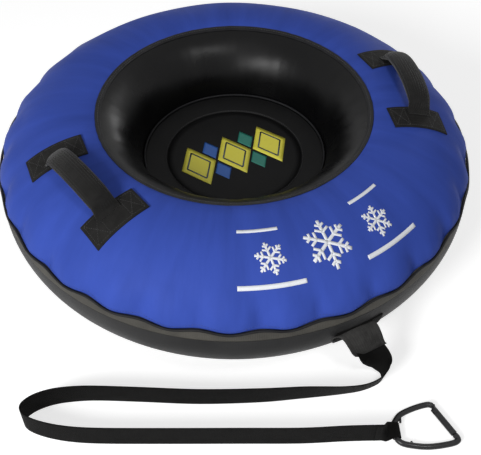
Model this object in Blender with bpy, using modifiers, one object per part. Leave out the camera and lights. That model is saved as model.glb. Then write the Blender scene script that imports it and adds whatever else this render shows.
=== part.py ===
"""Inflatable snow tube: an air tube in a fabric cover, with a seat, two grips and a tow strap.

Metres, +Z up. The origin is on the ground under the middle of the tube. The tow strap leaves
the tube on its -Y side. The left grip is towards -X and the right grip towards +X.
"""

import math

import bmesh
import bpy
from mathutils import Matrix, Vector

# Tube, measured over its cover
OVERALL_RADIUS = 0.450
OUTER_REACH = 0.1664
INNER_REACH = 0.1066
WIDEST_HEIGHT = 0.120
FLATTENING = 0.0158
RUBBER_THICKNESS = 0.002
FIT_GAP = 0.0003

# Cover panels and their seams
COVER_THICKNESS = 0.0012
RIM_INSET = 0.0299
SEAM_RISE = 0.034
BAND_WIDTH = 0.020
BASE_MARGIN = 0.029
BASE_RAMP = 0.038
BASE_LIFT = 0.012
PUCKER_COUNT = 28
PUCKER_DEPTH = 0.005
PUCKER_REACH = 0.070
SEAM_WAVE = 0.0035
PIPING_RADIUS = 0.0026
BINDING_WIDTH = 0.011
BINDING_PROUD = 0.0018

# Seat
SEAT_FLOOR_HEIGHT = 0.137
SEAT_BAND_RUN = 0.046
SEAT_DIP = 0.007
SEAT_THICKNESS = 0.0016
SEAT_PIPING_RADIUS = 0.0022

# Valve
PATCH_RADIUS = 0.016
PATCH_HEIGHT = 0.003
STEM_RADIUS = 0.004
STEM_BORE_RADIUS = 0.0022
STEM_LENGTH = 0.034
STEM_TAIL = 0.004
CORE_LENGTH = 0.021
CAP_LENGTH = 0.014
CAP_WALL = 0.0012
CAP_TRAVEL = 0.016

# Zip in the base panel
ZIP_INSET = 0.018
SLOT_WIDTH = 0.014
TAPE_WIDTH = 0.016
TAPE_THICKNESS = 0.001
TAPE_OVERLAP = 0.012
COIL_WIDTH = 0.002
COIL_HEIGHT = 0.0025
STOP_LENGTH = 0.004
SLIDER_LENGTH = 0.014
SLIDER_WALL = 0.0012
BRIDGE_LENGTH = 0.010
BRIDGE_WIDTH = 0.003
BRIDGE_DROP = 0.005
PULL_LENGTH = 0.030
PULL_WIDTH = 0.009
PULL_THICKNESS = 0.0014

# Webbing, shared by the grips, the tow tab and the strap
WEBBING_WIDTH = 0.050
WEBBING_THICKNESS = 0.002

# Grips
GRIP_OUTSET = 0.0554
GRIP_FROM_TOW = 76.2
GRIP_HALF_SPAN = 13.0
TAB_FROM_GRIP = 16.05
FRONT_TAB_TURN = 0.0
REAR_TAB_TURN = 17.0
TAB_LENGTH = 0.104
TAB_WIDTH = 0.054
TAB_THICKNESS = 0.0025
SLEEVE_THICKNESS = 0.0012
SLEEVE_HALF_WIDTH = 0.020
SLEEVE_HALF_HEIGHT = 0.012
SLEEVE_END_HALF_WIDTH = 0.023
SLEEVE_END_HALF_HEIGHT = 0.0045
GRIP_MIDDLE_HEIGHT = 0.030
GRIP_CLEARANCE = 0.0009
FOAM_SIDE = 0.0023
GRIP_CORE_CHAMFER = 0.0004
FOOT_LENGTH = 0.020

# Tow tab and its patch
TOW_PATCH_LENGTH = 0.040
TOW_TAB_WIDTH = 0.054
TOW_TAB_REACH = 0.040
TOW_TAB_DROP = 0.026

# Carabiner
CARABINER_REACH = 0.100
ROD_RADIUS = 0.005
BAR_X = 0.0157
BAR_OUT = 0.1510
BAR_TURN = -22.5
GATE_RADIUS = 0.0055
GATE_END_GAP = 0.0008
GATE_SWING = 22.0
CARABINER_SWING = 100.0
TONGUE_THICKNESS = 0.004
TONGUE_WIDTH = 0.007
TONGUE_REACH = 0.0035
PIN_RADIUS = 0.0013
SPRING_RADIUS = 0.0022
SPRING_WIRE = 0.0004
SPRING_LENGTH = 0.014
SPRING_TURNS = 5
NUB_RADIUS = 0.002
LOOP_HALF_WIDTH = 0.0135
LOOP_LEAD = 0.027
CUT_OVERRUN = 0.010

# Rod of the carabiner in its own plane, from the hinge end of the gate round to its nose,
# as shares of the carabiner's reach
HINGE_SHARE = (0.715, 0.370)
NOSE_SHARE = (0.961, -0.094)
ROD_SHARES = (
    (0.705, 0.452),
    (0.610, 0.478),
    (0.368, 0.415),
    (0.133, 0.309),
    (0.020, 0.185),
    (0.000, 0.125),
    (0.000, 0.000),
    (0.000, -0.125),
    (0.020, -0.178),
    (0.093, -0.232),
    (0.244, -0.272),
    (0.446, -0.299),
    (0.658, -0.290),
    (0.900, -0.250),
    (0.990, -0.205),
    (0.993, -0.155),
)
NUB_ROOT_SHARES = ((0.120, 0.290), (0.244, -0.272))
NUB_TIP_SHARES = ((0.100, 0.145), (0.219, -0.190))

# Flap over the strap's root, as shares of its reach outwards and of its drop, upwards
FLAP_SHARES = (
    (0.09, 0.35),
    (0.09, 0.54),
    (0.19, 0.67),
    (0.42, 0.54),
    (0.72, 0.08),
    (0.92, -0.45),
    (1.00, -0.80),
    (1.00, -1.00),
)

# Lead of the strap into its end loop, as shares: of the lead for the distance back, of the
# webbing's half width for the way to the side and up, of a quarter turn, and of the half width
LEAD_SHARES = (
    (1.00, -0.48, 1.03, 0.00, 1.00),
    (0.83, -0.38, 0.86, 0.31, 0.90),
    (0.66, -0.26, 0.72, 0.64, 0.76),
    (0.48, -0.12, 0.60, 0.91, 0.62),
)
WRAP_TURN = 240
WRAP_STEPS = 8

# Route of the tow strap along its middle, with the lean of its width from upright in degrees.
# Its Y starts at the outermost line of the tube, on the side of the tow strap.
STRAP_ROUTE = (
    (0.0250, 0.0052, 0.0931, -88),
    (0.0256, -0.0067, 0.0845, -88),
    (0.0261, -0.0128, 0.0723, -86),
    (0.0270, -0.0160, 0.0569, -80),
    (0.0322, -0.0260, 0.0400, -55),
    (0.0422, -0.0420, 0.0300, -22),
    (0.0470, -0.0590, 0.0262, 0),
    (0.0410, -0.0690, 0.0258, -8),
    (0.0250, -0.0700, 0.0258, -16),
    (0.0020, -0.0620, 0.0258, -19),
    (-0.0310, -0.0520, 0.0258, -15),
    (-0.0660, -0.0410, 0.0258, -12),
    (-0.0980, -0.0300, 0.0258, -9),
    (-0.1620, -0.0060, 0.0258, -5),
    (-0.2560, 0.0350, 0.0258, -3),
    (-0.3470, 0.0820, 0.0258, -3),
    (-0.4080, 0.1130, 0.0258, -3),
    (-0.4430, 0.1280, 0.0258, -2),
    (-0.4770, 0.1380, 0.0258, -1),
    (-0.5060, 0.1400, 0.0258, 0),
    (-0.5280, 0.1340, 0.0258, 0),
    (-0.5350, 0.1220, 0.0258, 0),
    (-0.5290, 0.1060, 0.0258, 0),
    (-0.5090, 0.0850, 0.0258, 0),
    (-0.4780, 0.0620, 0.0258, 0),
    (-0.4330, 0.0370, 0.0258, 0),
    (-0.3440, -0.0050, 0.0258, 0),
    (-0.2250, -0.0600, 0.0258, 0),
    (-0.1360, -0.1010, 0.0258, 0),
    (-0.0750, -0.1255, 0.0258, 0),
    (-0.0440, -0.1385, 0.0258, 0),
    (-0.0142, -0.1516, 0.0258, 0),
)
STRAP_STEPS = 2

# Points nearer than this are made one
WELD_DISTANCE = 0.00001
AXIS_MERGE = 0.0001

# Counts
COLUMNS = 2 * PUCKER_COUNT
TUBE_COLUMNS = PUCKER_COUNT
RING_POINTS = 10
ROUND_SIDES = 16

# Section angles in degrees, from the widest point over the crown to the seat
CROWN_ROWS = (90, 75, 60, 45, 30, 22)
WALL_ROWS = (150, 135, 120)
BASE_ROWS = (0, -24, -43)
TUBE_ROWS = (210, 180, 150, 120, 90, 60, 30, 0, -24, -43)

RISE = WIDEST_HEIGHT + FLATTENING
CROWN_HEIGHT = WIDEST_HEIGHT + RISE
CROWN_RADIUS = OVERALL_RADIUS - OUTER_REACH
SEAT_RADIUS = CROWN_RADIUS - INNER_REACH
BASE_INNER_RADIUS = SEAT_RADIUS + BASE_MARGIN
BASE_RECESS_RADIUS = BASE_INNER_RADIUS - BASE_RAMP
SEAT_PANEL_RADIUS = SEAT_RADIUS - SEAT_BAND_RUN
ZIP_LENGTH = 2 * (BASE_RECESS_RADIUS - ZIP_INSET)
GRIP_RADIUS = CROWN_RADIUS + GRIP_OUTSET
TAB_TOP = 2 * FIT_GAP + TAB_THICKNESS
GRIP_END_HEIGHT = TAB_TOP + GRIP_CLEARANCE + SLEEVE_END_HALF_HEIGHT
GRIP_CORE_HALF_WIDTH = SLEEVE_HALF_WIDTH - SLEEVE_THICKNESS - FOAM_SIDE
BAR_Y = -OVERALL_RADIUS - BAR_OUT
TUBE_DEPTH = COVER_THICKNESS + 2 * FIT_GAP
RIM_ANGLE = math.degrees(math.acos(-RIM_INSET / INNER_REACH))
SEAM_ANGLE = math.degrees(math.asin(SEAM_RISE / RISE))
BAND_ANGLE = math.degrees(math.asin((SEAM_RISE - BAND_WIDTH) / RISE))
FLOOR_ANGLE = 180 - math.degrees(math.asin((SEAT_FLOOR_HEIGHT - WIDEST_HEIGHT) / RISE))
TOW_COLUMN = math.floor(0.75 * COLUMNS) + 0.5
TOW_ANGLE = TOW_COLUMN * 360 / COLUMNS
VALVE_ANGLE = (TUBE_COLUMNS // 4 + 0.5) * 360 / TUBE_COLUMNS

FABRIC_TOP = BASE_LIFT + COVER_THICKNESS
TAPE_BOTTOM = FABRIC_TOP + FIT_GAP
COIL_TOP = TAPE_BOTTOM - FIT_GAP
COIL_BOTTOM = COIL_TOP - COIL_HEIGHT
COIL_HALF_LENGTH = ZIP_LENGTH / 2 - STOP_LENGTH - 2 * FIT_GAP
SLIDER_TOP = COIL_BOTTOM - FIT_GAP
SLIDER_X = COIL_HALF_LENGTH - SLIDER_LENGTH / 2
PULL_AXIS_HEIGHT = SLIDER_TOP - SLIDER_WALL - BRIDGE_DROP / 2
PULL_REST = math.degrees(math.asin((PULL_AXIS_HEIGHT - PULL_THICKNESS) / PULL_LENGTH))

BAR_HEIGHT = WEBBING_THICKNESS + FIT_GAP + ROD_RADIUS
CARABINER_TILT = math.asin(
    (BAR_HEIGHT - GATE_RADIUS - FIT_GAP) / (NOSE_SHARE[0] * CARABINER_REACH)
)

parts = None
cutters = None
finishes = {}


def clear_scene():
    for obj in list(bpy.data.objects):
        bpy.data.objects.remove(obj)


def new_collection(name, hidden=False):
    made = bpy.data.collections.new(name)
    bpy.context.scene.collection.children.link(made)
    made.hide_render = hidden
    return made


def finish(name, color, roughness, metallic=0.0):
    """The material of this name, made once."""
    if name not in finishes:
        made = bpy.data.materials.new(name)
        made.use_nodes = True
        shader = made.node_tree.nodes["Principled BSDF"]
        shader.inputs["Base Color"].default_value = (*color, 1.0)
        shader.inputs["Roughness"].default_value = roughness
        shader.inputs["Metallic"].default_value = metallic
        finishes[name] = made
    return finishes[name]


def blue_fabric():
    return finish("blue_fabric", (0.045, 0.085, 0.42), 0.55)


def black_vinyl():
    return finish("black_vinyl", (0.012, 0.012, 0.013), 0.32)


def floor_fabric():
    return finish("floor_fabric", (0.016, 0.016, 0.017), 0.6)


def base_fabric():
    return finish("base_fabric", (0.05, 0.05, 0.05), 0.5)


def band_fabric():
    return finish("band_fabric", (0.045, 0.043, 0.036), 0.7)


def black_trim():
    return finish("black_trim", (0.008, 0.008, 0.009), 0.4)


def webbing():
    return finish("webbing", (0.028, 0.027, 0.025), 0.8)


def foam():
    return finish("foam", (0.06, 0.06, 0.06), 0.9)


def rubber():
    return finish("rubber", (0.02, 0.02, 0.02), 0.6)


def gunmetal():
    return finish("gunmetal", (0.16, 0.16, 0.165), 0.35, 0.9)


def brass():
    return finish("brass", (0.55, 0.38, 0.14), 0.3, 1.0)


def zip_plastic():
    return finish("zip_plastic", (0.02, 0.02, 0.02), 0.45)


def placed(name, data, material=None, collection=None):
    """A new object holding this mesh or curve, in the collection of the parts unless another is named."""
    obj = bpy.data.objects.new(name, data)
    (collection or parts).objects.link(obj)
    if material:
        data.materials.append(material)
    return obj


def mesh_from(name, bm):
    data = bpy.data.meshes.new(name)
    bm.to_mesh(data)
    bm.free()
    return data


def smoothed(obj, angle=35):
    obj.data.shade_smooth()
    obj.data.set_sharp_from_angle(angle=math.radians(angle))
    return obj


def modifier(obj, kind, **settings):
    made = obj.modifiers.new(kind.title(), kind)
    for key, value in settings.items():
        setattr(made, key, value)
    return made


def turned(name, profile, material, columns=COLUMNS, closed=True, collection=None):
    """The profile of (r, z) points turned about Z. Its outer side runs from top to bottom."""
    bm = bmesh.new()
    points = [bm.verts.new((r, 0, z)) for r, z in profile]
    for first, second in zip(points, points[1:]):
        bm.edges.new((first, second))
    if closed:
        bm.edges.new((points[-1], points[0]))
    obj = placed(name, mesh_from(name, bm), material, collection)
    modifier(
        obj,
        "SCREW",
        steps=columns,
        render_steps=columns,
        use_merge_vertices=True,
        merge_threshold=AXIS_MERGE,
    )
    return obj


def walled(obj, thickness, offset=-1):
    modifier(obj, "SOLIDIFY", thickness=thickness, offset=offset, use_even_offset=True)
    return obj


def evaluated_mesh(obj):
    """The object's shape as a plain mesh, with its modifiers applied."""
    bpy.context.view_layer.update()
    graph = bpy.context.evaluated_depsgraph_get()
    return bpy.data.meshes.new_from_object(obj.evaluated_get(graph))


def settled(curve):
    """A mesh object in the curve's place, with the ends of the curve welded."""
    data = evaluated_mesh(curve)
    bm = bmesh.new()
    bm.from_mesh(data)
    bmesh.ops.remove_doubles(bm, verts=bm.verts, dist=WELD_DISTANCE)
    bmesh.ops.recalc_face_normals(bm, faces=bm.faces)
    bm.to_mesh(data)
    bm.free()
    name = curve.name
    bpy.data.objects.remove(curve)
    return placed(name, data)


def box(name, low, high, material=None, collection=None):
    bm = bmesh.new()
    bmesh.ops.create_cube(bm, size=1)
    size = Vector(high) - Vector(low)
    bmesh.ops.scale(bm, verts=bm.verts, vec=size)
    bmesh.ops.translate(bm, verts=bm.verts, vec=Vector(low) + size / 2)
    return placed(name, mesh_from(name, bm), material, collection)


def rod(name, start, end, radius, material=None, collection=None, sides=ROUND_SIDES):
    """A capped cylinder between two points."""
    start, end = Vector(start), Vector(end)
    along = end - start
    bm = bmesh.new()
    bmesh.ops.create_cone(
        bm, cap_ends=True, segments=sides, radius1=radius, radius2=radius, depth=along.length
    )
    turn = along.to_track_quat("Z", "Y").to_matrix().to_4x4()
    bm.transform(Matrix.Translation(start + along / 2) @ turn)
    return placed(name, mesh_from(name, bm), material, collection)


def prism(name, outline, half_length, material=None):
    """A flat outline extruded both ways along its own Z."""
    data = bpy.data.curves.new(name, "CURVE")
    data.dimensions = "2D"
    data.fill_mode = "BOTH"
    data.extrude = half_length
    spline = data.splines.new("POLY")
    spline.points.add(len(outline) - 1)
    for point, (x, y) in zip(spline.points, outline):
        point.co = (x, y, 0, 1)
    spline.use_cyclic_u = True
    return settled(placed(name, data, material))


def joined(obj, other, operation):
    """Adds or takes away the other solid, which is kept as a hidden guide."""
    other.hide_render = True
    other.display_type = "WIRE"
    modifier(obj, "BOOLEAN", operation=operation, object=other, solver="EXACT")
    return obj


def loft(name, rings, material, cyclic=False):
    """A solid through rings of as many points each. A cyclic loft closes on its first ring."""
    bm = bmesh.new()
    rows = [[bm.verts.new(point) for point in ring] for ring in rings]
    spans = list(zip(rows, rows[1:]))
    if cyclic:
        spans.append((rows[-1], rows[0]))
    count = len(rows[0])
    for first, second in spans:
        for i in range(count):
            j = (i + 1) % count
            bm.faces.new((first[i], first[j], second[j], second[i]))
    if not cyclic:
        bm.faces.new(rows[0])
        bm.faces.new(rows[-1])
    bmesh.ops.recalc_face_normals(bm, faces=bm.faces)
    return smoothed(placed(name, mesh_from(name, bm), material))


def smooth_route(points, steps):
    """Points on one smooth curve through the given ones, with this many to a span."""
    points = [Vector(point) for point in points]
    ends = [2 * points[0] - points[1], *points, 2 * points[-1] - points[-2]]
    route = []
    for before, here, there, after in zip(ends, ends[1:], ends[2:], ends[3:]):
        for step in range(steps):
            t = step / steps
            pull = (there - before) / 2
            push = (after - here) / 2
            route.append(
                (2 * t**3 - 3 * t**2 + 1) * here
                + (t**3 - 2 * t**2 + t) * pull
                + (3 * t**2 - 2 * t**3) * there
                + (t**3 - t**2) * push
            )
    route.append(points[-1])
    return route


def section_reach(angle):
    return OUTER_REACH if math.cos(math.radians(angle)) > 0 else INNER_REACH


def section_point(angle, depth=0.0):
    """(r, z) on the tube's section at this angle, this deep under the face of the cover."""
    turn = math.radians(angle)
    r = CROWN_RADIUS + (section_reach(angle) - depth) * math.cos(turn)
    return r, max(WIDEST_HEIGHT + (RISE - depth) * math.sin(turn), depth)


def section_angle(r, z):
    reach = OUTER_REACH if r > CROWN_RADIUS else INNER_REACH
    return math.degrees(math.atan2((z - WIDEST_HEIGHT) / RISE, (r - CROWN_RADIUS) / reach))


def arc_per_degree(angle):
    turn = math.radians(angle)
    across = section_reach(angle) * math.sin(turn)
    return math.radians(1) * math.hypot(across, RISE * math.cos(turn))


def contact_angle(depth=0.0):
    """The section angle below the widest point where the tube flattens on the ground."""
    return -math.degrees(math.asin((WIDEST_HEIGHT - depth) / (RISE - depth)))


def round_place(r, angle, z):
    turn = math.radians(angle)
    return Vector((r * math.cos(turn), r * math.sin(turn), z))


def cover_point(x, y, lift=0.0):
    """The point on the crown over this place on the plan, raised along the cover's normal."""
    r = math.hypot(x, y)
    turn = math.acos((r - CROWN_RADIUS) / section_reach(section_angle(r, CROWN_HEIGHT)))
    reach = section_reach(math.degrees(turn))
    slope = Vector((math.cos(turn) / reach, math.sin(turn) / RISE)).normalized()
    out = Vector((x / r, y / r, 0))
    foot = Vector((x, y, WIDEST_HEIGHT + RISE * math.sin(turn)))
    return foot + (out * slope[0] + Vector((0, 0, slope[1]))) * lift


def pucker_wave(angle):
    return math.cos(PUCKER_COUNT * angle)


def reshaped(obj, move):
    """Moves each point of a turned surface: move takes and gives (r, z), at an angle in radians."""
    data = evaluated_mesh(obj)
    obj.modifiers.clear()
    obj.data = data
    for vertex in data.vertices:
        x, y, z = vertex.co
        angle = math.atan2(y, x)
        r, z = move(math.hypot(x, y), z, angle)
        vertex.co = (r * math.cos(angle), r * math.sin(angle), z)
    return obj


def seam_shift(angle, share=1.0):
    """How far the gathered seam rises or falls along the section, in degrees of section angle."""
    return -SEAM_WAVE * pucker_wave(angle) * share / arc_per_degree(SEAM_ANGLE)


def gather_cover(r, z, angle):
    section = section_angle(r, z)
    share = min(1.0, max(0.0, (section - SEAM_ANGLE) * arc_per_degree(SEAM_ANGLE) / PUCKER_REACH))
    swell = PUCKER_DEPTH * math.sin(math.pi * math.sqrt(share)) * (1 + pucker_wave(angle)) / 2
    return section_point(section + seam_shift(angle, (1 - share) ** 2), -swell)


def gather_piping(r, z, angle):
    here = section_point(SEAM_ANGLE)
    there = section_point(SEAM_ANGLE + seam_shift(angle))
    return r + there[0] - here[0], z + there[1] - here[1]


def gather_band(r, z, angle):
    section = section_angle(r, z)
    share = max(0.0, (section - BAND_ANGLE) / (SEAM_ANGLE - BAND_ANGLE))
    return section_point(section + seam_shift(angle, share))


def edge_gap(angle, gap=FIT_GAP):
    """A gap along the section, in degrees of section angle."""
    return gap / arc_per_degree(angle)


def ring_section(centre, radius, sides=5):
    """A round section of a piping, clockwise as a turned profile needs."""
    r, z = centre
    turns = [2 * math.pi * (i + 0.5) / sides for i in range(sides)]
    return [(r + radius * math.sin(turn), z + radius * math.cos(turn)) for turn in turns]


def tube_point(angle):
    """(r, z) on the air tube. Towards the seat its flats would cut inwards, so there it is set back."""
    r, z = section_point(angle, TUBE_DEPTH)
    return (r if r > CROWN_RADIUS - FIT_GAP else r / math.cos(math.pi / TUBE_COLUMNS)), z


def make_inner_tube():
    """The air tube, which has a hole for its valve and so no sealed hollow."""
    lowest = contact_angle(TUBE_DEPTH)
    angles = (180 - lowest, *TUBE_ROWS, lowest)
    profile = [tube_point(angle) for angle in angles]
    tube = turned("inner_tube", profile, rubber(), TUBE_COLUMNS)
    walled(tube, RUBBER_THICKNESS)
    hole = rod(
        "valve_hole",
        (0, 0, -STEM_TAIL - CUT_OVERRUN),
        (0, 0, CUT_OVERRUN),
        STEM_RADIUS + FIT_GAP,
        collection=cutters,
    )
    hole.matrix_world = valve_place()
    joined(tube, hole, "DIFFERENCE")


def valve_place():
    """The frame of the valve: its Z leaves the facet of the air tube towards the middle."""
    upper, lower = tube_point(180), tube_point(210)
    flat = math.cos(math.pi / TUBE_COLUMNS)
    r, z = (upper[0] + lower[0]) / 2, (upper[1] + lower[1]) / 2
    fall = math.atan2((lower[0] - upper[0]) * flat, upper[1] - lower[1])
    centre = round_place(r * flat, VALVE_ANGLE, z)
    inward = round_place(-math.cos(fall), VALVE_ANGLE, -math.sin(fall))
    across = round_place(1, VALVE_ANGLE + 90, 0)
    turn = Matrix((across, inward.cross(across), inward)).transposed().to_4x4()
    return Matrix.Translation(centre) @ turn


def make_valve():
    place = valve_place()
    bore = STEM_RADIUS + FIT_GAP
    patch = turned(
        "valve_patch",
        [
            (bore, PATCH_HEIGHT),
            (PATCH_RADIUS / 2, PATCH_HEIGHT),
            (PATCH_RADIUS, PATCH_HEIGHT / 2),
            (PATCH_RADIUS, FIT_GAP),
            (bore, FIT_GAP),
        ],
        rubber(),
        ROUND_SIDES,
    )
    stem = turned(
        "valve_stem",
        [
            (STEM_BORE_RADIUS, STEM_LENGTH),
            (STEM_RADIUS, STEM_LENGTH),
            (STEM_RADIUS, -STEM_TAIL),
            (STEM_BORE_RADIUS, -STEM_TAIL),
        ],
        brass(),
        ROUND_SIDES,
    )
    core_top = STEM_LENGTH - FIT_GAP
    core_foot = core_top - CORE_LENGTH
    core_radius = STEM_BORE_RADIUS - FIT_GAP
    core = turned(
        "valve_core",
        [(0, core_top), (core_radius, core_top), (core_radius, core_foot), (0, core_foot)],
        brass(),
        ROUND_SIDES,
        closed=False,
    )
    cap_bore = STEM_RADIUS + FIT_GAP
    cap_radius = cap_bore + CAP_WALL
    cap_floor = STEM_LENGTH + FIT_GAP
    cap_top = cap_floor + CAP_WALL
    cap_foot = cap_top - CAP_LENGTH
    cap = turned(
        "valve_cap",
        [
            (0, cap_top),
            (cap_radius - CAP_WALL / 2, cap_top),
            (cap_radius, cap_floor),
            (cap_radius, cap_foot),
            (cap_bore, cap_foot),
            (cap_bore, cap_floor),
            (0, cap_floor),
        ],
        black_trim(),
        ROUND_SIDES,
        closed=False,
    )
    for obj in (patch, stem, core, cap):
        obj.matrix_world = place


def make_cover():
    """The panels of the cover, parted at the rim and at the gathered seam."""
    rim = RIM_ANGLE - edge_gap(RIM_ANGLE)
    seam = SEAM_ANGLE + edge_gap(SEAM_ANGLE)
    rows = [rim, *CROWN_ROWS, seam]
    cover = turned("top_cover", [section_point(row) for row in rows], blue_fabric(), closed=False)
    walled(reshaped(cover, gather_cover), COVER_THICKNESS)

    rows = [FLOOR_ANGLE, *WALL_ROWS, RIM_ANGLE + edge_gap(RIM_ANGLE)]
    wall = turned("seat_wall", [section_point(row) for row in rows], black_vinyl(), closed=False)
    walled(wall, COVER_THICKNESS)

    half = BINDING_WIDTH / 2 / arc_per_degree(RIM_ANGLE)
    top, foot = -FIT_GAP - BINDING_PROUD, -FIT_GAP
    shoulder = (top + foot) / 2
    binding = [
        section_point(RIM_ANGLE + half / 2, top),
        section_point(RIM_ANGLE - half / 2, top),
        section_point(RIM_ANGLE - half, shoulder),
        section_point(RIM_ANGLE - half / 2, foot),
        section_point(RIM_ANGLE + half / 2, foot),
        section_point(RIM_ANGLE + half, shoulder),
    ]
    turned("rim_binding", binding, black_trim())

    centre = section_point(SEAM_ANGLE - edge_gap(SEAM_ANGLE, PIPING_RADIUS / 2), -PIPING_RADIUS - FIT_GAP)
    piping = turned("perimeter_piping", ring_section(centre, PIPING_RADIUS), black_trim())
    reshaped(piping, gather_piping)

    rows = [SEAM_ANGLE - edge_gap(SEAM_ANGLE), (SEAM_ANGLE + BAND_ANGLE) / 2, BAND_ANGLE]
    band = turned("perimeter_band", [section_point(row) for row in rows], band_fabric(), closed=False)
    walled(reshaped(band, gather_band), COVER_THICKNESS)

    rows = [BAND_ANGLE - 2 * edge_gap(BAND_ANGLE), *BASE_ROWS, contact_angle()]
    profile = [section_point(row) for row in rows]
    profile += [(BASE_INNER_RADIUS, 0), (BASE_RECESS_RADIUS, BASE_LIFT), (0, BASE_LIFT)]
    base = turned("base_panel", profile, base_fabric(), closed=False)
    walled(base, COVER_THICKNESS)
    slot = box(
        "zip_slot",
        (-ZIP_LENGTH / 2, -SLOT_WIDTH / 2, BASE_LIFT - CUT_OVERRUN),
        (ZIP_LENGTH / 2, SLOT_WIDTH / 2, BASE_LIFT + CUT_OVERRUN),
        collection=cutters,
    )
    joined(base, slot, "DIFFERENCE")


def make_seat():
    """The floor of the seat: a sloped band round a flat panel, with a piping in the corner."""
    wall_face = section_point(FLOOR_ANGLE)[0] * math.cos(math.pi / COLUMNS)
    outer = wall_face - 2 * FIT_GAP
    inner = SEAT_PANEL_RADIUS + FIT_GAP
    floor = SEAT_FLOOR_HEIGHT - SEAT_DIP
    turned(
        "seat_band",
        [
            (inner, floor),
            (outer, SEAT_FLOOR_HEIGHT),
            (outer, SEAT_FLOOR_HEIGHT - SEAT_THICKNESS),
            (inner, floor - SEAT_THICKNESS),
        ],
        floor_fabric(),
    )
    edge = SEAT_PANEL_RADIUS - FIT_GAP
    turned(
        "seat_panel",
        [(0, floor), (edge, floor), (edge, floor - SEAT_THICKNESS), (0, floor - SEAT_THICKNESS)],
        floor_fabric(),
        closed=False,
    )
    centre = (wall_face - FIT_GAP - SEAT_PIPING_RADIUS, SEAT_FLOOR_HEIGHT + FIT_GAP + SEAT_PIPING_RADIUS)
    turned("seat_piping", ring_section(centre, SEAT_PIPING_RADIUS), black_trim())


def make_zip():
    """A coil zip along X across the base, closed, with its slider at the +X end."""
    tape_top = TAPE_BOTTOM + TAPE_THICKNESS
    tape_half = ZIP_LENGTH / 2 + TAPE_OVERLAP
    for name, side in (("left", 1), ("right", -1)):
        near, far = sorted((side * FIT_GAP, side * TAPE_WIDTH))
        box(
            f"zip_tape_{name}",
            (-tape_half, near, TAPE_BOTTOM),
            (tape_half, far, tape_top),
            webbing(),
        )
        near, far = sorted((side * FIT_GAP, side * (FIT_GAP + COIL_WIDTH)))
        box(
            f"zip_coil_{name}",
            (-COIL_HALF_LENGTH, near, COIL_BOTTOM),
            (COIL_HALF_LENGTH, far, COIL_TOP),
            zip_plastic(),
        )
    wide = FIT_GAP + COIL_WIDTH + FIT_GAP
    start = COIL_HALF_LENGTH + FIT_GAP
    for name, end in (("front", 1), ("rear", -1)):
        near, far = sorted((end * start, end * (start + STOP_LENGTH)))
        box(f"zip_stop_{name}", (near, -wide, COIL_BOTTOM), (far, wide, COIL_TOP), gunmetal())
    make_zip_slider(wide)
    make_zip_pull()


def make_zip_slider(wide):
    """The slider's channel round the coils, with a bridge under it for the pull."""
    out = wide + SLIDER_WALL
    bottom = -SLIDER_WALL
    rim = COIL_TOP - FIT_GAP - SLIDER_TOP
    channel = [
        (-out, bottom),
        (out, bottom),
        (out, rim),
        (wide, rim),
        (wide, 0),
        (-wide, 0),
        (-wide, rim),
        (-out, rim),
    ]
    slider = prism("zip_slider", channel, SLIDER_LENGTH / 2, gunmetal())
    quarter = math.radians(90)
    lay_along_x = Matrix.Rotation(quarter, 4, "Z") @ Matrix.Rotation(quarter, 4, "X")
    slider.data.transform(lay_along_x)
    low = bottom - BRIDGE_DROP
    post = BRIDGE_LENGTH / 2
    sunk = bottom + SLIDER_WALL / 2
    inside = post - SLIDER_WALL
    arch = [
        (-post, sunk),
        (-post, low),
        (post, low),
        (post, sunk),
        (inside, sunk),
        (inside, low + SLIDER_WALL),
        (-inside, low + SLIDER_WALL),
        (-inside, sunk),
    ]
    bridge = prism("zip_bridge", arch, BRIDGE_WIDTH / 2)
    parts.objects.unlink(bridge)
    cutters.objects.link(bridge)
    bridge.data.transform(Matrix.Rotation(quarter, 4, "X"))
    for obj in (slider, bridge):
        obj.location = (SLIDER_X, 0, SLIDER_TOP)
    joined(slider, bridge, "UNION")


def make_zip_pull():
    """A flat pull whose window clears the bridge. It hinges on the bar across its near end."""
    arm = (PULL_WIDTH - BRIDGE_WIDTH) / 2 - FIT_GAP * 2
    bar = PULL_THICKNESS
    window = BRIDGE_LENGTH / 2 + 4 * FIT_GAP
    half = PULL_WIDTH / 2
    plate = box(
        "zip_pull",
        (-bar / 2, -half, -PULL_THICKNESS / 2),
        (PULL_LENGTH, half, PULL_THICKNESS / 2),
        gunmetal(),
    )
    hole = box(
        "pull_window",
        (bar / 2, -half + arm, -PULL_THICKNESS),
        (window, half - arm, PULL_THICKNESS),
        collection=cutters,
    )
    turn = Matrix.Rotation(math.radians(PULL_REST), 4, "Y")
    place = Matrix.Translation((SLIDER_X, 0, PULL_AXIS_HEIGHT)) @ turn
    for obj in (plate, hole):
        obj.matrix_world = place
    joined(plate, hole, "DIFFERENCE")


def superellipse(half_width, half_height, power):
    """Points (x, y) round a section that is boxier the higher its power."""
    ring = []
    for i in range(RING_POINTS):
        turn = 2 * math.pi * (i + 0.5) / RING_POINTS
        across, up = math.cos(turn), math.sin(turn)
        ring.append((
            half_width * math.copysign(abs(across) ** (2 / power), across),
            half_height * math.copysign(abs(up) ** (2 / power), up),
        ))
    return ring


def core_section():
    """Points (x, y) round the flat webbing in a grip, its edges chamfered."""
    wide, high = GRIP_CORE_HALF_WIDTH, WEBBING_THICKNESS / 2
    x, y = wide - GRIP_CORE_CHAMFER, high - GRIP_CORE_CHAMFER
    upper = [(wide, y), (x, high), (-x, high), (-wide, y)]
    return upper + [(-across, -up) for across, up in upper]


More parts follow.
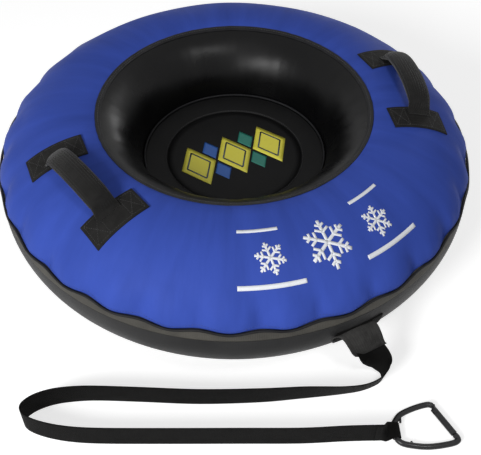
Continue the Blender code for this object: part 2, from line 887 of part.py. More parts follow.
class Grip:
    """The arch of one grip: a straight chord on the plan that rises over the cover."""

    ROUND_POWER = 2.6
    FLAT_POWER = 9
    TAPER_POWER = 4
    SLEEVE_START = 12
    RINGS = 11
    BARE_RINGS = 2

    def __init__(self, side, middle):
        self.side = side
        self.middle = middle
        chord = GRIP_RADIUS * math.cos(math.radians(GRIP_HALF_SPAN))
        self.out = round_place(1, middle, 0)
        self.along = round_place(1, middle + 90, 0)
        self.centre = self.out * chord
        half = GRIP_RADIUS * math.sin(math.radians(GRIP_HALF_SPAN))
        self.half = half / math.cos(math.radians(self.SLEEVE_START))
        start = math.sin(math.radians(self.SLEEVE_START))
        self.rise = (GRIP_MIDDLE_HEIGHT - GRIP_END_HEIGHT) / (1 - start)
        self.base = GRIP_END_HEIGHT - self.rise * start
        self.normal = (cover_point(*self.centre.xy, 1) - cover_point(*self.centre.xy)).normalized()

    def surface(self, along, across, lift):
        place = self.centre + self.along * along + self.out * across
        return cover_point(place.x, place.y, lift)

    def point(self, turn):
        along = -self.half * math.cos(math.radians(turn))
        height = self.base + self.rise * math.sin(math.radians(turn))
        return self.surface(along, 0, 0) + self.normal * height

    def frame(self, turn):
        """The middle of the arch at this turn, with the directions across it and up."""
        step = 1
        tangent = (self.point(turn + step) - self.point(turn - step)).normalized()
        up = (self.normal - tangent * self.normal.dot(tangent)).normalized()
        return self.point(turn), up.cross(tangent), up

    def size(self, turn):
        share = abs(math.cos(math.radians(turn))) ** self.TAPER_POWER
        width = SLEEVE_HALF_WIDTH + (SLEEVE_END_HALF_WIDTH - SLEEVE_HALF_WIDTH) * share
        height = SLEEVE_HALF_HEIGHT + (SLEEVE_END_HALF_HEIGHT - SLEEVE_HALF_HEIGHT) * share
        return width, height

    def ring(self, turn, section):
        middle, across, up = self.frame(turn)
        return [middle + across * x + up * y for x, y in section]

    def turns(self, bare=0):
        step = (180 - 2 * self.SLEEVE_START) / (self.RINGS - 1)
        return [self.SLEEVE_START + step * i for i in range(bare, self.RINGS - bare)]

    def make_sleeve(self):
        outer, inner = [], []
        wall = SLEEVE_THICKNESS
        for turn in self.turns():
            width, height = self.size(turn)
            hollow = superellipse(width - wall, height - wall, self.ROUND_POWER)
            outer.append(self.ring(turn, superellipse(width, height, self.ROUND_POWER)))
            inner.append(self.ring(turn, hollow))
        loft(f"{self.side}_handle_sleeve", outer + inner[::-1], webbing(), cyclic=True)

    def make_foam(self):
        outer, inner = [], []
        shrink = SLEEVE_THICKNESS + 2 * FIT_GAP
        slit = superellipse(
            GRIP_CORE_HALF_WIDTH + FIT_GAP,
            WEBBING_THICKNESS / 2 + 2 * FIT_GAP,
            self.FLAT_POWER,
        )
        for turn in self.turns(self.BARE_RINGS):
            width, height = self.size(turn)
            face = superellipse(width - shrink, height - shrink, self.ROUND_POWER)
            outer.append(self.ring(turn, face))
            inner.append(self.ring(turn, slit))
        loft(f"{self.side}_handle_foam", outer + inner[::-1], foam(), cyclic=True)

    def foot_ring(self, along, lift):
        return [self.surface(along, -x, lift + y) for x, y in core_section()]

    def make_webbing(self):
        arch = [self.ring(turn, core_section()) for turn in self.turns()]
        lift = TAB_TOP + 3 * FIT_GAP + WEBBING_THICKNESS / 2
        first = self.half * math.cos(math.radians(self.SLEEVE_START)) + 2 * WEBBING_THICKNESS
        stations = [first + FOOT_LENGTH, first + FOOT_LENGTH / 2, first]
        start = [self.foot_ring(-along, lift) for along in stations]
        end = [self.foot_ring(along, lift) for along in reversed(stations)]
        loft(f"{self.side}_handle_webbing", start + arch + end, webbing())

    def make_tab(self, name, end, turn):
        """A patch sewn to the cover, turned from the grip's own direction by this many degrees."""
        place = round_place(GRIP_RADIUS, self.middle + end * TAB_FROM_GRIP, 0)
        out = round_place(1, self.middle + end * turn, 0)
        away = round_place(end, self.middle + end * turn + 90, 0)
        bm = bmesh.new()
        bmesh.ops.create_grid(bm, x_segments=8, y_segments=4, size=0.5)
        for vertex in bm.verts:
            at = place + out * (vertex.co.x * TAB_LENGTH) + away * (vertex.co.y * end * TAB_WIDTH)
            vertex.co = cover_point(at.x, at.y, 2 * FIT_GAP)
        obj = placed(f"{self.side}_handle_tab_{name}", mesh_from(name, bm), webbing())
        walled(obj, TAB_THICKNESS, offset=1)


def make_grips():
    for side, sign in (("left", -1), ("right", 1)):
        middle = -90 + sign * GRIP_FROM_TOW
        grip = Grip(side, middle)
        grip.make_sleeve()
        grip.make_foam()
        grip.make_webbing()
        # The front tab is the one nearer to the tow strap
        grip.make_tab("front", -sign, FRONT_TAB_TURN)
        grip.make_tab("rear", sign, REAR_TAB_TURN)


def tow_place():
    """The frame of the tow patch on its flat of the base panel: Z outwards, Y up the side."""
    upper, lower = section_point(BASE_ROWS[0]), section_point(BASE_ROWS[1])
    flat = math.cos(math.pi / COLUMNS)
    r, z = (upper[0] + lower[0]) / 2 * flat, (upper[1] + lower[1]) / 2
    fall = math.atan2((upper[0] - lower[0]) * flat, upper[1] - lower[1])
    outward = round_place(math.cos(fall), TOW_ANGLE, -math.sin(fall))
    across = round_place(1, TOW_ANGLE + 90, 0)
    up = outward.cross(across)
    turn = Matrix((across, up, outward)).transposed().to_4x4()
    return Matrix.Translation(round_place(r, TOW_ANGLE, z)) @ turn


def ribbon(name, route, tilts, width, thickness, material, twist="Z_UP"):
    """A flat strap along a route, on its edge where its tilt is zero."""
    data = bpy.data.curves.new(name, "CURVE")
    data.dimensions = "3D"
    data.twist_mode = twist
    data.fill_mode = "FULL"
    data.use_fill_caps = True
    data.bevel_resolution = 0
    data.bevel_depth = thickness / 2
    data.extrude = (width - thickness) / 2
    spline = data.splines.new("POLY")
    spline.points.add(len(route) - 1)
    for point, place, tilt in zip(spline.points, route, tilts):
        point.co = (*place, 1)
        point.tilt = tilt
    return placed(name, data, material)


def make_tow_tab():
    """The patch on the side of the base, and the flap of webbing that covers the strap's root."""
    place = tow_place()
    half = WEBBING_WIDTH / 2 - FIT_GAP
    patch = box(
        "tow_patch",
        (-half, -TOW_PATCH_LENGTH / 2, FIT_GAP),
        (half, TOW_PATCH_LENGTH / 2, FIT_GAP + WEBBING_THICKNESS),
        webbing(),
    )
    patch.matrix_world = place
    shape = [(0, up * TOW_TAB_DROP, out * TOW_TAB_REACH) for out, up in FLAP_SHARES]
    path = smooth_route(shape, 2)
    flat = [math.radians(90)] * len(path)
    flap = ribbon("tow_loop", path, flat, TOW_TAB_WIDTH, WEBBING_THICKNESS, webbing(), "MINIMUM")
    flap.matrix_world = place


def make_strap():
    route = [(x, y - OVERALL_RADIUS, z) for x, y, z, _ in STRAP_ROUTE]
    points = smooth_route(route, STRAP_STEPS)
    leans = smooth_route([(place[3], 0, 0) for place in STRAP_ROUTE], STRAP_STEPS)
    tilts = [math.radians(lean.x) for lean in leans]
    ribbon("tow_strap", points, tilts, WEBBING_WIDTH, WEBBING_THICKNESS, webbing())


def carabiner_place():
    """The frame of the carabiner: its bar is along Y, and its plane dips to the ground at the gate."""
    place = Matrix.Translation((BAR_X, BAR_Y, BAR_HEIGHT))
    turn = Matrix.Rotation(math.radians(BAR_TURN), 4, "Z")
    return place @ turn @ Matrix.Rotation(CARABINER_TILT, 4, "Y")


def make_strap_end():
    """The strap's end: it twists from upright to flat, narrows and wraps the carabiner's bar."""
    wrap = ROD_RADIUS + FIT_GAP + WEBBING_THICKNESS / 2
    full = WEBBING_WIDTH / 2
    rings = []
    for back, side, height, turn, width in LEAD_SHARES:
        centre = Vector((-back * LOOP_LEAD, side * full, height * full))
        turn = math.radians(90) * turn
        wide = Vector((0, math.sin(turn), math.cos(turn)))
        thick = Vector((0, math.cos(turn), -math.sin(turn)))
        rings.append(flat_ring(centre, wide * full * width, thick * WEBBING_THICKNESS / 2))
    for i in range(WRAP_STEPS + 1):
        turn = math.radians(90 - WRAP_TURN * i / WRAP_STEPS)
        out = Vector((math.cos(turn), 0, math.sin(turn)))
        centre = Vector((0, 0, BAR_HEIGHT)) + out * wrap
        rings.append(
            flat_ring(centre, Vector((0, LOOP_HALF_WIDTH, 0)), -out * WEBBING_THICKNESS / 2)
        )
    obj = loft("strap_end_loop", rings, webbing())
    turn = Matrix.Rotation(math.radians(BAR_TURN), 4, "Z")
    obj.matrix_world = Matrix.Translation((BAR_X, BAR_Y, 0)) @ turn


def flat_ring(centre, wide, thick):
    return [centre + wide + thick, centre + wide - thick, centre - wide - thick, centre - wide + thick]


def in_reach(share):
    """A place in the carabiner's plane from its shares of the reach."""
    return Vector((*share, 0)) * CARABINER_REACH


def gate_place():
    """The frame of the gate: its X runs from the hinge pin to the nose, and its Z is the pin's."""
    hinge, nose = in_reach(HINGE_SHARE), in_reach(NOSE_SHARE)
    line = nose - hinge
    turn = Matrix.Rotation(math.atan2(line.y, line.x), 4, "Z")
    return carabiner_place() @ Matrix.Translation(hinge) @ turn


def make_carabiner():
    place = carabiner_place()
    hinge = in_reach(HINGE_SHARE)
    gate_length = (in_reach(NOSE_SHARE) - hinge).length

    route = smooth_route([in_reach(share) for share in (*ROD_SHARES, NOSE_SHARE)], 2)
    data = bpy.data.curves.new("carabiner_frame", "CURVE")
    data.dimensions = "3D"
    data.bevel_depth = ROD_RADIUS
    data.bevel_resolution = 2
    data.use_fill_caps = True
    spline = data.splines.new("POLY")
    spline.points.add(len(route) - 1)
    for point, at in zip(spline.points, route):
        point.co = (*at, 1)
    frame = smoothed(settled(placed("carabiner_frame", data, gunmetal())))
    frame.matrix_world = place

    half_thick, half_wide = TONGUE_THICKNESS / 2, TONGUE_WIDTH / 2
    tongue_root = (hinge - route[0]).length + ROD_RADIUS / 2
    tongue = box(
        "hinge_tongue",
        (-tongue_root, -half_wide, -half_thick),
        (TONGUE_REACH, half_wide, half_thick),
        collection=cutters,
    )
    line = hinge - route[0]
    turn = Matrix.Rotation(math.atan2(line.y, line.x), 4, "Z")
    tongue.matrix_world = place @ Matrix.Translation(hinge) @ turn
    joined(frame, tongue, "UNION")
    for i, (root, tip) in enumerate(zip(NUB_ROOT_SHARES, NUB_TIP_SHARES)):
        nub = rod(
            f"nub_{i}", in_reach(root), in_reach(tip), NUB_RADIUS, collection=cutters, sides=8
        )
        nub.matrix_world = place
        joined(frame, nub, "UNION")
    through = Vector((0, 0, CUT_OVERRUN))
    pin_hole = rod(
        "pin_hole",
        hinge - through,
        hinge + through,
        PIN_RADIUS + FIT_GAP,
        collection=cutters,
        sides=10,
    )
    pin_hole.matrix_world = place
    joined(frame, pin_hole, "DIFFERENCE")

    cheek = TONGUE_REACH + FIT_GAP
    gate = rod(
        "carabiner_gate",
        (-cheek, 0, 0),
        (gate_length - GATE_END_GAP, 0, 0),
        GATE_RADIUS,
        gunmetal(),
        sides=12,
    )
    smoothed(gate)
    slot_half = half_thick + FIT_GAP
    slot_end = cheek + ROD_RADIUS / 2
    slot = box(
        "gate_slot",
        (-cheek - CUT_OVERRUN, -CUT_OVERRUN, -slot_half),
        (slot_end, CUT_OVERRUN, slot_half),
        collection=cutters,
    )
    spring_bore = SPRING_RADIUS + SPRING_WIRE + FIT_GAP
    bore_end = slot_end + SPRING_LENGTH + 2 * FIT_GAP
    bore = rod(
        "spring_bore", (0, 0, 0), (bore_end, 0, 0), spring_bore, collection=cutters, sides=12
    )
    for obj in (gate, slot, bore):
        obj.matrix_world = gate_place()
    joined(gate, slot, "DIFFERENCE")
    joined(gate, bore, "DIFFERENCE")
    joined(gate, pin_hole, "DIFFERENCE")

    pin = rod(
        "gate_pin", (0, 0, -GATE_RADIUS), (0, 0, GATE_RADIUS), PIN_RADIUS, gunmetal(), sides=10
    )
    pin.matrix_world = gate_place()
    make_gate_spring(slot_end)


def make_gate_spring(start):
    per_turn = 9
    count = SPRING_TURNS * per_turn
    data = bpy.data.curves.new("gate_spring", "CURVE")
    data.dimensions = "3D"
    data.bevel_depth = SPRING_WIRE
    data.bevel_resolution = 1
    data.use_fill_caps = True
    spline = data.splines.new("POLY")
    spline.points.add(count)
    for i, point in enumerate(spline.points):
        turn = 2 * math.pi * i / per_turn
        along = start + SPRING_WIRE + (SPRING_LENGTH - 2 * SPRING_WIRE) * i / count
        point.co = (along, SPRING_RADIUS * math.cos(turn), SPRING_RADIUS * math.sin(turn), 1)
    pitch = (SPRING_LENGTH - 2 * SPRING_WIRE) / SPRING_TURNS
    print("gate spring: least gap between its turns", round(pitch - 2 * SPRING_WIRE, 5), "m")
    spring = placed("gate_spring", data, gunmetal())
    spring.matrix_world = gate_place()


def print_joint(name, place, axis, travel):
    at, line = place.translation, place.to_3x3() @ Vector(axis)
    words = " ".join(f"{value:.5f}" for value in (*at, *line))
    print(f"joint {name}: place and axis {words}, travel {travel:.5f}")


def print_joints():
    """The place, the axis and the travel from rest of each joint, in metres or degrees."""
    slider = Matrix.Translation((SLIDER_X, 0, SLIDER_TOP))
    print_joint("zip_slider", slider, (-1, 0, 0), 2 * SLIDER_X)
    pull = Matrix.Translation((SLIDER_X, 0, PULL_AXIS_HEIGHT))
    print_joint("zip_pull", pull, (0, 1, 0), 180 - 2 * PULL_REST)
    print_joint("valve_cap", valve_place(), (0, 0, 1), CAP_TRAVEL)
    print_joint("carabiner", carabiner_place(), (0, -1, 0), CARABINER_SWING)
    print_joint("gate", gate_place(), (0, 0, -1), GATE_SWING)


def main():
    global parts, cutters
    clear_scene()
    parts = new_collection("snow_tube")
    cutters = new_collection("cutters", hidden=True)
    make_inner_tube()
    make_valve()
    make_cover()
    make_seat()
    make_zip()
    make_grips()
    make_tow_tab()
    make_strap()
    make_strap_end()
    make_carabiner()
    print_joints()


main()
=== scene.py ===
"""Dresses an inflatable snow tube: gathered cover, glossy bowl, grips, tow strap and carabiner.

Metres, +Z up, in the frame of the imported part. The tow strap leaves the tube on its -Y side.
"""

import math

import bmesh
import bpy
from bpy.props import FloatProperty, FloatVectorProperty, PointerProperty
from mathutils import Matrix, Vector, noise


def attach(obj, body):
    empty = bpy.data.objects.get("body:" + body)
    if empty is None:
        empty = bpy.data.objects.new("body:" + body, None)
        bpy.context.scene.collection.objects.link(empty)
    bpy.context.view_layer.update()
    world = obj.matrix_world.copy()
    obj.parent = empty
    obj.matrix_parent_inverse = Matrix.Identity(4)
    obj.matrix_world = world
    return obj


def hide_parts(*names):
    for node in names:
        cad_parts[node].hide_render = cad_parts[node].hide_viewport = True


bl_info = {
    "name": "Snow tube looks",
    "version": (1, 0, 0),
    "blender": (4, 5, 0),
    "location": "View3D > Sidebar > Snow tube",
    "description": "Builds the fabric, webbing and metal of an inflatable snow tube",
    "category": "Object",
}

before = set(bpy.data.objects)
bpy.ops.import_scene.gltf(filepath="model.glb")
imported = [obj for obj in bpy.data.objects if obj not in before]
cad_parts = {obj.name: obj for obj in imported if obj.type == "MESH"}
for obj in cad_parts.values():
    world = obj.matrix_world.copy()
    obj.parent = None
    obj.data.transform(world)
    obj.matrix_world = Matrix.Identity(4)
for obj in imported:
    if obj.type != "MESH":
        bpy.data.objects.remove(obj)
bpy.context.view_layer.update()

# Tube, measured over its cover
OVERALL_RADIUS = 0.450
OUTER_REACH = 0.1664
INNER_REACH = 0.1066
WIDEST_HEIGHT = 0.120
FLATTENING = 0.0158
FIT_GAP = 0.0003

# Cover panels and their seams
COVER_THICKNESS = 0.0012
RIM_INSET = 0.0299
SEAM_RISE = 0.034
BAND_WIDTH = 0.020
BAND_PLEAT = 0.0006
BASE_MARGIN = 0.029
BASE_RAMP = 0.038
BASE_LIFT = 0.012
PUCKER_COUNT = 28
PUCKER_DEPTH = 0.005
PUCKER_REACH = 0.070
PUCKER_UNEVENNESS = 0.35
CREASE_POWER = 5
SMALL_CREASE_SHARE = 0.5
RIM_FADE_ANGLE = 12
SEAM_WAVE = 0.0035
PIPING_RADIUS = 0.0026
BINDING_WIDTH = 0.011
BINDING_PROUD = 0.0018
BINDING_EDGE = 0.0006
BINDING_CROWN_POWER = 0.6
BINDING_SIDE_POWER = 0.7

# Seat
SEAT_FLOOR_HEIGHT = 0.137
SEAT_BAND_RUN = 0.046
SEAT_DIP = 0.007
SEAT_THICKNESS = 0.0016
SEAT_PIPING_RADIUS = 0.0022
SEAT_BAND_SWELL = 0.0008
SEAT_BAND_RIPPLE = 0.0006
SEAT_PANEL_RIPPLE = 0.0005

# Zip in the base panel
ZIP_LENGTH = 0.300
SLOT_WIDTH = 0.014
TAPE_WIDTH = 0.016
TAPE_THICKNESS = 0.001
TAPE_OVERLAP = 0.012
COIL_WIDTH = 0.002
COIL_HEIGHT = 0.0025
COIL_WIRE = 0.00035
COIL_PITCH = 0.0016
STOP_LENGTH = 0.004

# Webbing and grips
WEBBING_WIDTH = 0.050
WEBBING_THICKNESS = 0.002
GRIP_OUTSET = 0.0554
GRIP_FROM_TOW = 76.2
GRIP_HALF_SPAN = 13.0
TAB_FROM_GRIP = 16.05
FRONT_TAB_TURN = 0.0
REAR_TAB_TURN = 17.0
TAB_LENGTH = 0.104
TAB_WIDTH = 0.054
TAB_THICKNESS = 0.0025
TAB_TOP = 2 * FIT_GAP + TAB_THICKNESS
TAB_MARGIN = 0.005
TAB_BOX_SHARE = 0.45
SLEEVE_HALF_WIDTH = 0.020
SLEEVE_HALF_HEIGHT = 0.012
SLEEVE_END_HALF_WIDTH = 0.023
SLEEVE_END_HALF_HEIGHT = 0.0045
GRIP_MIDDLE_HEIGHT = 0.030
GRIP_END_HEIGHT = 0.0085
GRIP_CORE_HALF_WIDTH = 0.0165
FOOT_LENGTH = 0.020 / 6

# Tow tab
TOW_PATCH_LENGTH = 0.040
TOW_PATCH_WIDTH = 0.092
TOW_PATCH_LOW_ANGLE = -24
TOW_TAB_ROOT_WIDTH = 0.076
TOW_TAB_WIDTH = 0.060
TOW_TAB_LEAN = 0.032
TOW_TAB_SHIFT = -0.018
TOW_TAB_REACH = 0.040
TOW_TAB_DROP = 0.026
FLAP_CURL = 0.0022
FLAP_WAVES = 1.1

# Carabiner
CARABINER_REACH = 0.100
ROD_RADIUS = 0.005
ROD_END_SHARE = 0.8
BAR_X = 0.0157
BAR_OUT = 0.1510
BAR_TURN = -22.5
GATE_RADIUS = 0.0055
GATE_END_GAP = 0.0008
TONGUE_THICKNESS = 0.004
TONGUE_WIDTH = 0.007
TONGUE_REACH = 0.0035
NUB_RADIUS = 0.002
NUB_TIP = 0.6
LOOP_HALF_WIDTH = 0.0135
LOOP_LEAD = 0.027

HINGE_SHARE = (0.715, 0.370)
NOSE_SHARE = (0.961, -0.094)
ROD_SHARES = (
    (0.705, 0.452),
    (0.610, 0.478),
    (0.368, 0.415),
    (0.133, 0.309),
    (0.020, 0.185),
    (0.000, 0.125),
    (0.000, 0.000),
    (0.000, -0.125),
    (0.020, -0.178),
    (0.093, -0.232),
    (0.244, -0.272),
    (0.446, -0.299),
    (0.658, -0.290),
    (0.900, -0.250),
    (0.990, -0.205),
    (0.993, -0.155),
)
NUB_ROOT_SHARES = ((0.120, 0.290), (0.244, -0.272))
NUB_TIP_SHARES = ((0.100, 0.145), (0.219, -0.190))

# Gate's profile, along it and as a share of its radius: its cheek at the tongue, one groove, and
# where the grooves start from the hinge and from the nose
GATE_CHEEK = ((0.0, 0.0), (0.0, 0.72), (0.0006, 0.93), (0.0014, 1.0))
GATE_GROOVE = ((0.0, 1.0), (0.0003, 0.9), (0.0009, 0.9), (0.0012, 1.0))
GATE_GROOVES = (0.0072, -0.0092)
GATE_TIP = 0.1

# Flap over the strap's root, as shares of its reach outwards and of its drop, upwards
FLAP_SHARES = (
    (0.09, 0.35),
    (0.09, 0.54),
    (0.19, 0.67),
    (0.42, 0.54),
    (0.72, 0.08),
    (0.92, -0.45),
    (1.00, -0.80),
    (1.00, -1.00),
)

# Lead of the strap into its end loop, which starts as a fold sewn over the strap:
# distance back, way to the side, way up, quarter turns, width, thickness
LEAD_SHARES = (
    (1.40, -0.48, 1.03, 0.00, 0.99, 1.5),
    (1.00, -0.48, 1.03, 0.00, 0.98, 1.5),
    (0.86, -0.42, 0.95, 0.10, 0.86, 1.3),
    (0.70, -0.33, 0.84, 0.32, 0.72, 1.1),
    (0.52, -0.18, 0.68, 0.72, 0.60, 1.0),
)
WRAP_TURN = 240
WRAP_STEPS = 8
UNIT_HALF_THICKNESS = 0.1

# Route of the tow strap, with the lean of its width from upright in degrees.
# Its Y starts at the outermost line of the tube.
STRAP_ROUTE = (
    (0.0250, 0.0052, 0.0931, -88),
    (0.0262, -0.0067, 0.0845, -87),
    (0.0290, -0.0138, 0.0723, -78),
    (0.0360, -0.0205, 0.0580, -58),
    (0.0460, -0.0285, 0.0430, -34),
    (0.0535, -0.0390, 0.0325, -17),
    (0.0550, -0.0500, 0.0272, -11),
    (0.0465, -0.0600, 0.0258, -12),
    (0.0255, -0.0660, 0.0258, -18),
    (0.0000, -0.0650, 0.0258, -20),
    (-0.0310, -0.0560, 0.0258, -18),
    (-0.0660, -0.0425, 0.0258, -13),
    (-0.0980, -0.0300, 0.0258, -9),
    (-0.1620, -0.0060, 0.0258, -5),
    (-0.2560, 0.0350, 0.0258, -3),
    (-0.3470, 0.0820, 0.0258, -3),
    (-0.4080, 0.1130, 0.0258, -3),
    (-0.4430, 0.1280, 0.0258, -2),
    (-0.4770, 0.1380, 0.0258, -1),
    (-0.5060, 0.1400, 0.0258, 0),
    (-0.5280, 0.1340, 0.0258, 0),
    (-0.5350, 0.1220, 0.0258, 0),
    (-0.5290, 0.1060, 0.0258, 0),
    (-0.5090, 0.0850, 0.0258, 0),
    (-0.4780, 0.0620, 0.0258, 0),
    (-0.4330, 0.0370, 0.0258, 0),
    (-0.3440, -0.0050, 0.0258, 0),
    (-0.2250, -0.0600, 0.0258, 0),
    (-0.1360, -0.1010, 0.0258, 0),
    (-0.0750, -0.1255, 0.0258, 0),
    (-0.0440, -0.1385, 0.0258, 0),
    (-0.0142, -0.1516, 0.0258, 0),
)

# Counts
CAD_COLUMNS = 2 * PUCKER_COUNT
COVER_COLUMNS = 12 * PUCKER_COUNT
FINE_COLUMNS = 16 * PUCKER_COUNT
WALL_COLUMNS = 224
PIPING_SIDES = 12
SLEEVE_SIDES = 40
ROD_SIDES = 24
NUB_SIDES = 16
GATE_SIDES = 36
COIL_SIDES = 5
COIL_STEPS = 10
TAB_GRID = (26, 12)
PATCH_GRID = (24, 10)
ARC_STEPS = 40
STRAP_STEPS = 8
ROD_STEPS = 6
SLEEVE_STEPS = 4
LOOP_STEPS = 4
STITCH_GROUP = 30

WELD = 0.00001

# Stitches: length and thickness of one, and the distance from one to the next
GRIP_STITCH = (0.0032, 0.0006)
GRIP_STITCH_PITCH = 0.0042
FLOOR_STITCH = (0.0036, 0.0006)
FLOOR_STITCH_PITCH = 0.0048
FLOOR_STITCH_LIFT = 0.0003
FLOOR_SEAM_MARGIN = 0.003
TAB_STITCH_LIFT = 0.0001
COVER_STITCH_LIFT = 0.0004
COVER_SEAM_MARGIN = 0.006
RIM_STITCH_SHARE = 0.75
COVER_STITCH_SHARE = 0.7

# Snowflakes: middle, reach and width of a bar. Twigs: place on an arm and length, as its shares
FLAKES = (
    ((0.0, -0.362), 0.040, 0.0055),
    ((-0.098, -0.352), 0.026, 0.004),
    ((0.098, -0.352), 0.026, 0.004),
)
TWIGS = ((0.45, 0.34), (0.72, 0.22))
TWIG_TURN = 60
TWIG_WIDTH_SHARE = 0.8

# Curved stripes: radius, and both ends in degrees to each side of the tow strap
STRIPES = ((0.318, 12, 24), (0.404, 8, 24))
STRIPE_WIDTH = 0.006

# Diamonds: half width and half height, and the steps between their middles
LARGE_DIAMOND = (0.036, 0.058)
SMALL_DIAMOND = (0.017, 0.027)
LINE_DIAMOND = (0.024, 0.039)
DIAMOND_STEP = 0.038
SMALL_OFFSET = 0.032
LINE_WIDTH = 0.003
DARK_INK = (0.02, 0.035, 0.06)
INK_LIFT = 0.0003

CROWN_RADIUS = OVERALL_RADIUS - OUTER_REACH
SEAT_RADIUS = CROWN_RADIUS - INNER_REACH
RISE = WIDEST_HEIGHT + FLATTENING
CROWN_HEIGHT = WIDEST_HEIGHT + RISE
BASE_INNER_RADIUS = SEAT_RADIUS + BASE_MARGIN
BASE_RECESS_RADIUS = BASE_INNER_RADIUS - BASE_RAMP
SEAT_PANEL_RADIUS = SEAT_RADIUS - SEAT_BAND_RUN
GRIP_RADIUS = CROWN_RADIUS + GRIP_OUTSET
RIM_ANGLE = math.degrees(math.acos(-RIM_INSET / INNER_REACH))
SEAM_ANGLE = math.degrees(math.asin(SEAM_RISE / RISE))
BAND_ANGLE = math.degrees(math.asin((SEAM_RISE - BAND_WIDTH) / RISE))
FLOOR_ANGLE = 180 - math.degrees(math.asin((SEAT_FLOOR_HEIGHT - WIDEST_HEIGHT) / RISE))
GROUND_ANGLE = -math.degrees(math.asin(WIDEST_HEIGHT / RISE))
TOW_COLUMN = math.floor(0.75 * CAD_COLUMNS) + 0.5
TOW_ANGLE = TOW_COLUMN * 360 / CAD_COLUMNS
TAPE_BOTTOM = BASE_LIFT + COVER_THICKNESS + FIT_GAP
COIL_TOP = TAPE_BOTTOM - FIT_GAP
COIL_HALF_LENGTH = ZIP_LENGTH / 2 - STOP_LENGTH - 2 * FIT_GAP
BAR_HEIGHT = WEBBING_THICKNESS + FIT_GAP + ROD_RADIUS
BAR_Y = -OVERALL_RADIUS - BAR_OUT
CARABINER_TILT = math.asin(
    (BAR_HEIGHT - GATE_RADIUS - FIT_GAP) / (NOSE_SHARE[0] * CARABINER_REACH)
)

# Camera, floor and lamps
PHOTO_PLACE = (-0.5158, -1.1371, 1.2713)
PHOTO_TARGET = (0.0107, -0.0049, -0.0814)
PHOTO_LENS = 64.08
PHOTO_SENSOR = 36
FLOOR_SIZE = 16
FLOOR_DROP = 0.0005
PAPER_COLOR = (0.7, 0.7, 0.7, 1)
LAMP_TARGET = (0, 0, 0.15)
LAMPS = (
    ("key_lamp", (-2.6, -1.6, 1.8), "key_power", 1.2),
    ("fill_lamp", (0.1, -1.4, 2.2), "fill_power", 0.5),
    ("back_lamp", (2.0, 1.35, 0.75), "back_power", 0.45),
)

finishes = {}


def look():
    """The sizes and colours that a user may change."""
    return bpy.context.scene.snow_tube_look


# The tube's section


def section_reach(angle):
    return OUTER_REACH if math.cos(math.radians(angle)) > 0 else INNER_REACH


def section_point(angle, depth=0.0):
    """(r, z) on the tube's section at this angle in degrees, this deep under the cover's face."""
    turn = math.radians(angle)
    r = CROWN_RADIUS + (section_reach(angle) - depth) * math.cos(turn)
    return r, max(WIDEST_HEIGHT + (RISE - depth) * math.sin(turn), depth)


def section_angle(r, z):
    reach = OUTER_REACH if r > CROWN_RADIUS else INNER_REACH
    return math.degrees(math.atan2((z - WIDEST_HEIGHT) / RISE, (r - CROWN_RADIUS) / reach))


def arc_per_degree(angle):
    turn = math.radians(angle)
    across = section_reach(angle) * math.sin(turn)
    return math.radians(1) * math.hypot(across, RISE * math.cos(turn))


def edge_gap(angle, gap=FIT_GAP):
    return gap / arc_per_degree(angle)


def spread(start, end, steps):
    """Evenly spaced values from start to end."""
    return [start + (end - start) * i / steps for i in range(steps + 1)]


def along_section(r, z):
    """How far a place lies along the section, in metres, for a pattern that follows the cloth."""
    angle = section_angle(r, z)
    if r < BASE_INNER_RADIUS and z < SEAM_RISE:
        return -r - OUTER_REACH
    return math.radians(angle) * (OUTER_REACH + RISE) / 2


def round_place(r, angle, z):
    turn = math.radians(angle)
    return Vector((r * math.cos(turn), r * math.sin(turn), z))


def crown_angle(r):
    """The section angle of the crown over this radius on the plan."""
    share = (r - CROWN_RADIUS) / section_reach(section_angle(r, CROWN_HEIGHT))
    return math.degrees(math.acos(max(-1.0, min(1.0, share))))


def crown_point(x, y, lift=0.0):
    """The point on the crown over this place on the plan, raised along the cover's normal."""
    r = math.hypot(x, y)
    turn = math.radians(crown_angle(r))
    reach = section_reach(math.degrees(turn))
    slope = Vector((math.cos(turn) / reach, math.sin(turn) / RISE)).normalized()
    out = Vector((x / r, y / r, 0))
    foot = Vector((x, y, WIDEST_HEIGHT + RISE * math.sin(turn)))
    return foot + (out * slope[0] + Vector((0, 0, slope[1]))) * lift


def pucker_wave(angle):
    return math.cos(PUCKER_COUNT * angle)


def ripple(angle, grain, row=0.0):
    """A smooth uneven value from -1 to 1 round the tube; a larger grain has more swells."""
    return noise.noise(Vector((math.cos(angle) * grain, math.sin(angle) * grain, row)))


def seam_shift(angle, share=1.0):
    """How far the gathered seam rises or falls along the section, in degrees of section angle."""
    return -SEAM_WAVE * pucker_wave(angle) * share / arc_per_degree(SEAM_ANGLE)


def gathered(section, angle):
    """(r, z) on the blue panel, puffed between its gathers and creased at them."""
    reach = (section - SEAM_ANGLE) * arc_per_degree(SEAM_ANGLE) / PUCKER_REACH
    share = min(1.0, max(0.0, reach))
    wave = pucker_wave(angle)
    rise = math.sin(math.pi * math.sqrt(share))
    puff = PUCKER_DEPTH * (1 + wave) / 2 * (1 + PUCKER_UNEVENNESS * ripple(angle, 5))
    crease = look().crease_depth * max(0.0, -wave) ** CREASE_POWER * (1 - share)
    small = look().crease_depth * SMALL_CREASE_SHARE * ripple(angle, 26, 2 * share) * (1 - share)
    swell = rise * (puff - crease + small)
    slack = look().slack * ripple(angle, 3, section / 30) * (1 - (1 - share) ** 3)
    fade = min(1.0, max(0.0, (RIM_ANGLE - section) / RIM_FADE_ANGLE))
    return section_point(section + seam_shift(angle, (1 - share) ** 2), -swell - slack * fade)


